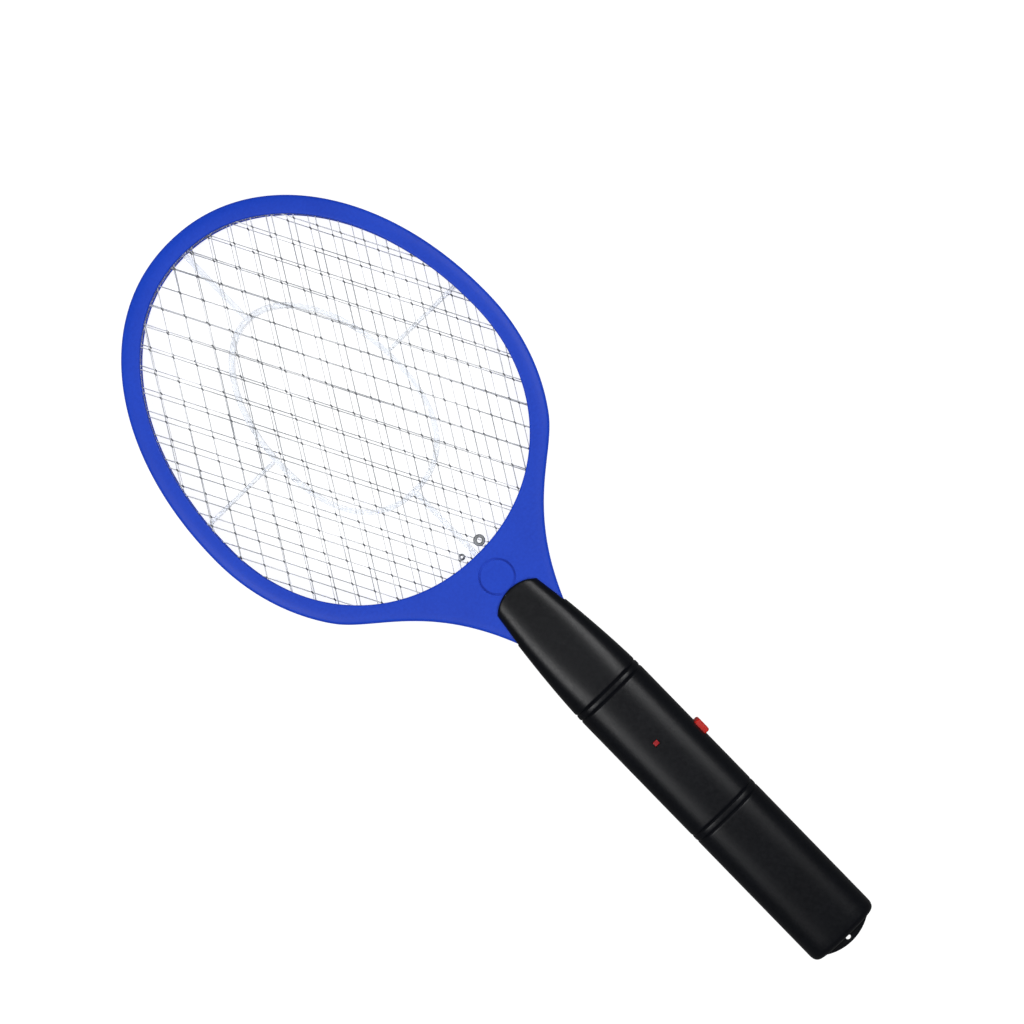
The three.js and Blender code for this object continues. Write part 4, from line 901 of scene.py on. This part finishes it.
# ---- Shell and neck screws: zinc-plated pan-head screws for plastic, driven in from behind.
SCREW_SIZE = {"Head Radius": 2.6, "Head Height": 1.8, "Shank Radius": 1.05, "Thread Pitch": 1.05,
              "Recess Width": 0.7, "Recess Depth": 1.1}
# How far each pair stands off the middle, its station, and the heights of its head's face and its tip.
SCREWS = {"neck_screw": (16.0, 206.0, 7.2, 17.6), "upper_shell_screw": (6.6, 252.0, 2.5, 23.8),
          "lower_shell_screw": (12.0, 350.0, 2.9, 21.6)}


def screw_tree():
    """A screw at every point given: a pan head with a cross recess, a shank and its thread. The head faces -Z.
    The point's attribute "reach" is the screw's whole length."""
    tree, given = start_tree("pan_head_screw", "Screws", {
        "Places": "Geometry", "Head Radius": 2.6 * MM, "Head Height": 1.8 * MM, "Shank Radius": 1.1 * MM,
        "Thread Pitch": 1.1 * MM, "Recess Width": 0.7 * MM, "Recess Depth": 1.1 * MM, "Steel": "Material"})
    thread_turns = 8
    # Each of these is a share of one of the given sizes.
    ratios = {"face": ("Head Radius", 0.72), "arm": ("Head Radius", 1.08), "dome": ("Head Height", 0.45),
              "rim": ("Head Height", 0.55), "rim_middle": ("Head Height", 0.725), "deep": ("Recess Depth", 2.0),
              "thread_from": ("Head Height", 1.1), "tip": ("Shank Radius", 0.6),
              "last_turn": ("Shank Radius", 0.75), "thread": ("Thread Pitch", thread_turns),
              "ridge": ("Thread Pitch", 0.22)}
    part = {name: add_node(tree, "ShaderNodeMath", {0: given[whole], 1: ratio}, operation="MULTIPLY")
            for name, (whole, ratio) in ratios.items()}

    lower = add_node(tree, "GeometryNodeMeshCone", {
        "Vertices": 40, "Radius Bottom": part["face"], "Radius Top": given["Head Radius"],
        "Depth": part["dome"]})
    upper = add_node(tree, "GeometryNodeMeshCylinder", {
        "Vertices": 40, "Radius": given["Head Radius"], "Depth": part["rim"]})
    raised = add_node(tree, "GeometryNodeTransform", {0: upper, "Translation": (0.0, 0.0, part["rim_middle"])})
    pan = add_node(tree, "GeometryNodeMeshBoolean", {"Mesh 2": [lower, raised]},
                   operation="UNION", solver="MANIFOLD")
    narrow = given["Recess Width"]
    bars = [add_node(tree, "GeometryNodeMeshCube", {"Size": (*across, part["deep"])})
            for across in ((part["arm"], narrow), (narrow, part["arm"]))]
    head = add_node(tree, "GeometryNodeMeshBoolean", {"Mesh 1": pan, "Mesh 2": bars},
                    operation="DIFFERENCE", solver="MANIFOLD")
    heads = add_node(tree, "GeometryNodeInstanceOnPoints", {"Points": given["Places"], "Instance": head})

    reach = add_node(tree, "GeometryNodeInputNamedAttribute", {"Name": "reach"}, data_type="FLOAT")
    below = add_node(tree, "ShaderNodeMath", {0: reach, 1: given["Head Height"]}, operation="SUBTRACT")
    bar = add_node(tree, "GeometryNodeMeshCone", {
        "Vertices": 20, "Radius Bottom": given["Shank Radius"], "Radius Top": part["tip"], "Depth": 1.0})
    shanks = add_node(tree, "GeometryNodeInstanceOnPoints", {
        "Points": given["Places"], "Instance": bar, "Scale": (1.0, 1.0, below)})
    line = add_node(tree, "GeometryNodeCurveSpiral", {
        "Resolution": 20, "Rotations": float(thread_turns), "Start Radius": given["Shank Radius"],
        "End Radius": part["last_turn"], "Height": part["thread"]})
    ridge = add_node(tree, "GeometryNodeCurvePrimitiveCircle", {"Resolution": 5, "Radius": part["ridge"]})
    thread = add_node(tree, "GeometryNodeCurveToMesh", {0: line, "Profile Curve": ridge, "Fill Caps": True})
    threads = add_node(tree, "GeometryNodeInstanceOnPoints", {"Points": given["Places"], "Instance": thread})
    lifted = [add_node(tree, "GeometryNodeTranslateInstances", {
        0: copies, "Translation": (0.0, 0.0, up), "Local Space": False})
        for copies, up in ((shanks, given["Head Height"]), (threads, part["thread_from"]))]
    joined = add_node(tree, "GeometryNodeJoinGeometry", {0: [heads, *lifted]})
    return close_tree(tree, joined, given["Steel"])


zinc_steel = plated_steel("zinc_plated_steel", "#c4c7cb", 0.3)
screw_maker = screw_tree()
for screw_name, (x, station, face, tip) in SCREWS.items():
    places = bpy.data.meshes.new(screw_name)
    places.from_pydata([(side * x * MM, (TIP_Y - station) * MM, face * MM) for side in (-1, 1)], [], [])
    reach = places.attributes.new("reach", "FLOAT", "POINT")
    reach.data.foreach_set("value", [(tip - face) * MM] * 2)
    screws = as_object(f"{screw_name}s", places)
    sizes = {label: value * MM for label, value in SCREW_SIZE.items()}
    run_tree(screws, screw_maker, {**sizes, "Steel": zinc_steel})
    finish_piece(screws, zinc_steel, [f"{screw_name}_left", f"{screw_name}_right"])


# ---- Push button: moulded in red ABS, a cap with rounded corners on a flange that keeps it in the shell. It is
# pressed in towards the board.
def rounded_box(name, across, stations, heights, corner, edge):
    """A block with its four upright corners and its upper and lower edges rounded."""
    (left, right), (front, back) = across, stations
    loop = []
    right_x, left_x = right - corner, left + corner
    front_y, back_y = TIP_Y - front - corner, TIP_Y - back + corner
    turns = ((right_x, front_y, 0), (left_x, front_y, 90), (left_x, back_y, 180), (right_x, back_y, 270))
    for cx, cy, start in turns:
        for angle in np.radians(np.linspace(start, start + 90, 7)):
            loop.append((cx + corner * math.cos(angle), cy + corner * math.sin(angle)))
    return slab(name, np.array(loop), *heights, edge)


FLANGE = {"across": (12.8, 14.8), "half_length": 5.2, "half_height": 6.6}
red_abs = moulded_plastic("red_abs", "#be1e15", "#a61910", 0.36, 1.54, 0.7, 0.02, 0.25)
cap_stations = (BUTTON["station"] - BUTTON["half_length"], BUTTON["station"] + BUTTON["half_length"])
cap_heights = (PARTING - BUTTON["half_height"], PARTING + BUTTON["half_height"])
button = rounded_box("push_button_cap", (BUTTON["inner"], BUTTON["outer"]), cap_stations, cap_heights, 1.1, 0.8)
flange_stations = (BUTTON["station"] - FLANGE["half_length"], BUTTON["station"] + FLANGE["half_length"])
flange_heights = (PARTING - FLANGE["half_height"], PARTING + FLANGE["half_height"])
flange = block(FLANGE["across"], flange_stations, flange_heights, 0.2)
carve(button, "UNION", flange)
finish_piece(button, red_abs, ["power_button"], body="button")


# ---- Indicator lamp: a square lens cast in red epoxy, flush with the shell, on two tinned legs.
def red_epoxy():
    """Red epoxy, dyed so deep that it looks solid, with a smooth cast face."""
    material, tree, surface = new_material("red_epoxy", {"IOR": 1.5, "Roughness": 0.18})
    place = add_node(tree, "ShaderNodeTexCoord").outputs["Object"]
    dye = add_node(tree, "ShaderNodeTexNoise", {"Vector": place, "Scale": 1 / (1.2 * MM), "Detail": 2.0})
    tint = add_node(tree, "ShaderNodeMix", {
        "Factor": dye, 6: linear("#861b1f"), 7: linear("#a6252a")}, data_type="RGBA")
    set_inputs(tree, surface, {"Base Color": tint.outputs[2]})
    return material


LAMP = {"foot": 22.4, "top": 27.95, "brim": 0.4, "brim_top": 23.8,
        "leg_x": 0.9, "leg_radius": 0.25, "leg_foot": 10.5}
epoxy = red_epoxy()
lens_x = (LED["x"] - LED["half_x"], LED["x"] + LED["half_x"])
lens_stations = (LED["station"] - LED["half_y"], LED["station"] + LED["half_y"])
lamp = rounded_box("indicator_lamp", lens_x, lens_stations, (LAMP["foot"], LAMP["top"]), 0.3, 0.25)
brim_x, brim_stations = ((low - LAMP["brim"], high + LAMP["brim"]) for low, high in (lens_x, lens_stations))
brim = rounded_box("brim", brim_x, brim_stations, (LAMP["foot"], LAMP["brim_top"]), 0.4, 0.2)
carve(lamp, "UNION", brim)
legs = [post(LED["x"] + side * LAMP["leg_x"], LED["station"], LAMP["leg_radius"], LAMP["leg_foot"],
             LAMP["foot"] + 0.2, 12) for side in (-1, 1)]
gather(lamp, *legs)
finish_piece(lamp, epoxy, ["power_led"])


# ---- Battery cells: two size AA cells side by side, each a crimped steel can in a plain plastic sleeve. The left
# one points to the head and the right one to the handle's end.
CELL = {"x": 7.55, "z": 12.8, "radius": 7.1, "length": 49.5, "nub": 1.0, "nub_radius": 2.7, "start": 374.0}
CELL_SPRING = {"radius": 3.0, "wire": 0.45, "length": 6.6, "turns": 3.0}
FIT = 0.3


def cell_sleeve(name, front_y):
    """A plain film sleeve over a steel can: green film with a silver end band."""
    material, tree, surface = new_material(name, {"Roughness": 0.28})
    place = add_node(tree, "ShaderNodeTexCoord").outputs["Object"]
    along = add_node(tree, "ShaderNodeSeparateXYZ", {0: place}).outputs[1]
    depth = add_node(tree, "ShaderNodeMath", {0: front_y, 1: along}, operation="SUBTRACT")
    band = add_node(tree, "ShaderNodeMath", {0: depth, 1: 36 * MM}, operation="GREATER_THAN")
    film = add_node(tree, "ShaderNodeMix", {
        "Factor": band, 6: linear("#2f6a50"), 7: linear("#b8bcc0")}, data_type="RGBA")
    metal = add_node(tree, "ShaderNodeMath", {0: band, 1: 0.7}, operation="MULTIPLY")
    crease = add_node(tree, "ShaderNodeTexNoise", {"Vector": place, "Scale": 1 / (2.5 * MM), "Detail": 3.0})
    bump = add_node(tree, "ShaderNodeBump", {"Height": crease, "Strength": 0.2, "Distance": 0.05 * MM})
    set_inputs(tree, surface, {"Base Color": film.outputs[2], "Metallic": metal, "Normal": bump})
    return material


def cell_profile():
    """Radius and distance from the flat end, closed at both ends on the axis."""
    r, length = CELL["radius"], CELL["length"]
    top = length + CELL["nub"]
    nub = CELL["nub_radius"]
    return [(0.0, 0.35), (4.4, 0.35), (4.7, 0.0), (r - 0.7, 0.0), (r - 0.2, 0.2), (r, 0.6), (r, length - 3.2),
            (r - 0.25, length - 2.7), (r - 0.25, length - 2.2), (r, length - 1.7), (r, length - 0.5),
            (r - 0.3, length - 0.1), (r - 1.0, length), (r - 1.6, length - 0.3), (nub + 0.4, length - 0.3),
            (nub, length - 0.1), (nub, top - 0.25), (nub - 0.3, top), (0.0, top)]


for hand, side in (("left", -1), ("right", 1)):
    whole = CELL["length"] + CELL["nub"]
    start = CELL["start"] if side < 0 else CELL["start"] + CELL_SPRING["length"] + FIT
    outline = cell_profile()
    if side < 0:
        outline = [(r, whole - d) for r, d in outline][::-1]
    cell = turned(f"{hand}_battery_cell", [(max(r, 0.01), d) for r, d in outline],
                  (side * CELL["x"], TIP_Y - start, CELL["z"]), 64, along="Y")
    sleeve = cell_sleeve(f"{hand}_cell_sleeve", (TIP_Y - start) * MM)
    finish_piece(cell, sleeve, [f"battery_cell_{hand}"])


# ---- Springs: hard-drawn steel wire, one behind each cell's flat end and one that pushes the button out.
def spring_tree():
    """A coil of round wire that starts at a place and runs along an axis turned by the given angles."""
    tree, given = start_tree("compression_spring", "Spring", {
        "Radius": 3 * MM, "Wire": 0.45 * MM, "Length": 6 * MM, "Turns": 3.0, "X": 0.0, "Y": 0.0, "Z": 0.0,
        "Tilt X": 0.0, "Tilt Y": 0.0, "Steel": "Material"})
    wires = add_node(tree, "ShaderNodeMath", {0: given["Wire"], 1: 2.0}, operation="MULTIPLY")
    height = add_node(tree, "ShaderNodeMath", {0: given["Length"], 1: wires}, operation="SUBTRACT")
    line = add_node(tree, "GeometryNodeCurveSpiral", {
        "Resolution": 36, "Rotations": given["Turns"], "Start Radius": given["Radius"],
        "End Radius": given["Radius"], "Height": height})
    section = add_node(tree, "GeometryNodeCurvePrimitiveCircle", {"Resolution": 10, "Radius": given["Wire"]})
    wire = add_node(tree, "GeometryNodeCurveToMesh", {0: line, "Profile Curve": section, "Fill Caps": True})
    lifted = add_node(tree, "GeometryNodeTransform", {0: wire, "Translation": (0.0, 0.0, given["Wire"])})
    placed = add_node(tree, "GeometryNodeTransform", {
        0: lifted, "Translation": (given["X"], given["Y"], given["Z"]),
        "Rotation": (given["Tilt X"], given["Tilt Y"], 0.0)})
    return close_tree(tree, placed, given["Steel"])


spring_steel = plated_steel("hard_drawn_steel", "#a9adb2", 0.28)
spring_maker = spring_tree()
spring_end = CELL["start"] + CELL["length"] + CELL["nub"] + FIT
SPRINGS = {
    "cell_spring_left": (CELL_SPRING, (-CELL["x"], TIP_Y - spring_end, CELL["z"]), (math.pi / 2, 0.0)),
    "cell_spring_right": (CELL_SPRING, (CELL["x"], TIP_Y - CELL["start"], CELL["z"]), (math.pi / 2, 0.0)),
    "button_spring": ({"radius": 2.1, "wire": 0.3, "length": 4.8, "turns": 4.0},
                      (7.0, TIP_Y - BUTTON["station"], PARTING), (0.0, math.pi / 2)),
}
for node, (size, place, tilt) in SPRINGS.items():
    spring = as_object(f"{node}_coil", bpy.data.meshes.new(f"{node}_coil"))
    run_tree(spring, spring_maker, {
        "Radius": size["radius"] * MM, "Wire": size["wire"] * MM, "Length": size["length"] * MM,
        "Turns": size["turns"], "X": place[0] * MM, "Y": place[1] * MM, "Z": place[2] * MM,
        "Tilt X": tilt[0], "Tilt Y": tilt[1], "Steel": spring_steel})
    finish_piece(spring, spring_steel, [node])
    if node == "button_spring":
        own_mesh(spring)


# ---- Electronics, contacts and leads: the small parts inside the handle keep their machined solids and get the
# finish of the real ones.
def speckled(name, colour, shade, roughness, grain, metallic=0.0):
    """A small part's finish: its own colour, clouded at the size of its grain, with gloss that varies with it."""
    material, tree, surface = new_material(name, {"Metallic": metallic})
    place = add_node(tree, "ShaderNodeTexCoord").outputs["Object"]
    cloud = add_node(tree, "ShaderNodeTexNoise", {"Vector": place, "Scale": 1 / (grain * MM), "Detail": 4.0})
    tint = add_node(tree, "ShaderNodeMix", {
        "Factor": cloud, 6: linear(shade), 7: linear(colour)}, data_type="RGBA")
    gloss = add_node(tree, "ShaderNodeMapRange", {
        "Value": cloud, "To Min": roughness - 0.08, "To Max": roughness + 0.08})
    bump = add_node(tree, "ShaderNodeBump", {"Height": cloud, "Strength": 0.3, "Distance": 0.02 * MM})
    set_inputs(tree, surface, {"Base Color": tint.outputs[2], "Roughness": gloss, "Normal": bump})
    return material


def wound_copper():
    """Enamelled copper wire, 0.2 mm thick in the real coil and drawn at 0.4 mm so that its turns show."""
    material = speckled("enamelled_copper_wire", "#b5652f", "#8c4720", 0.35, 3.0, 0.85)
    tree = material.node_tree
    place = add_node(tree, "ShaderNodeTexCoord").outputs["Object"]
    turns = add_node(tree, "ShaderNodeTexWave", {
        "Vector": place, "Scale": 0.314 / (0.4 * MM)}, bands_direction="Y").outputs["Fac"]
    ridges = add_node(tree, "ShaderNodeBump", {"Height": turns, "Strength": 0.6, "Distance": 0.1 * MM})
    set_inputs(tree, tree.nodes["Principled BSDF"], {"Normal": ridges})
    return material


black_epoxy = speckled("black_moulded_epoxy", "#1c1d20", "#121315", 0.55, 0.8)
INNER_FINISHES = (
    (zinc_steel, "plus_contact_plate minus_contact_plate cell_bridge_plate board_screw_front board_screw_rear "
                 "contact_bridge fixed_contact_upper fixed_contact_lower"),
    (speckled("green_lacquered_board", "#33703f", "#285c33", 0.42, 2.5), "circuit_board"),
    (speckled("pressed_ferrite", "#3b3c42", "#2a2b30", 0.7, 0.6), "transformer_core"),
    (wound_copper(), "transformer_winding"),
    (black_epoxy, "transformer_bobbin filter_capacitor transistor rectifier_diode_1 rectifier_diode_2 "
                  "rectifier_diode_3 switch_base"),
    (speckled("green_dipped_film", "#47853f", "#376d31", 0.32, 1.8), "film_capacitor"),
    (speckled("tan_resistor_lacquer", "#cfae7f", "#b6935f", 0.5, 0.9), "resistor_1 resistor_2"),
    (speckled("white_vinyl_sleeve", "#ecece8", "#dadad5", 0.45, 1.4), "front_grid_lead"),
    (speckled("red_vinyl_sleeve", "#b3251f", "#971d19", 0.45, 1.4), "middle_grid_lead battery_plus_lead"),
    (speckled("black_vinyl_sleeve", "#222224", "#161618", 0.45, 1.4), "rear_grid_lead battery_minus_lead"),
)
for finish, nodes in INNER_FINISHES:
    for node in nodes.split():
        for material_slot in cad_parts[node].material_slots:
            material_slot.material = finish


low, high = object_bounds()
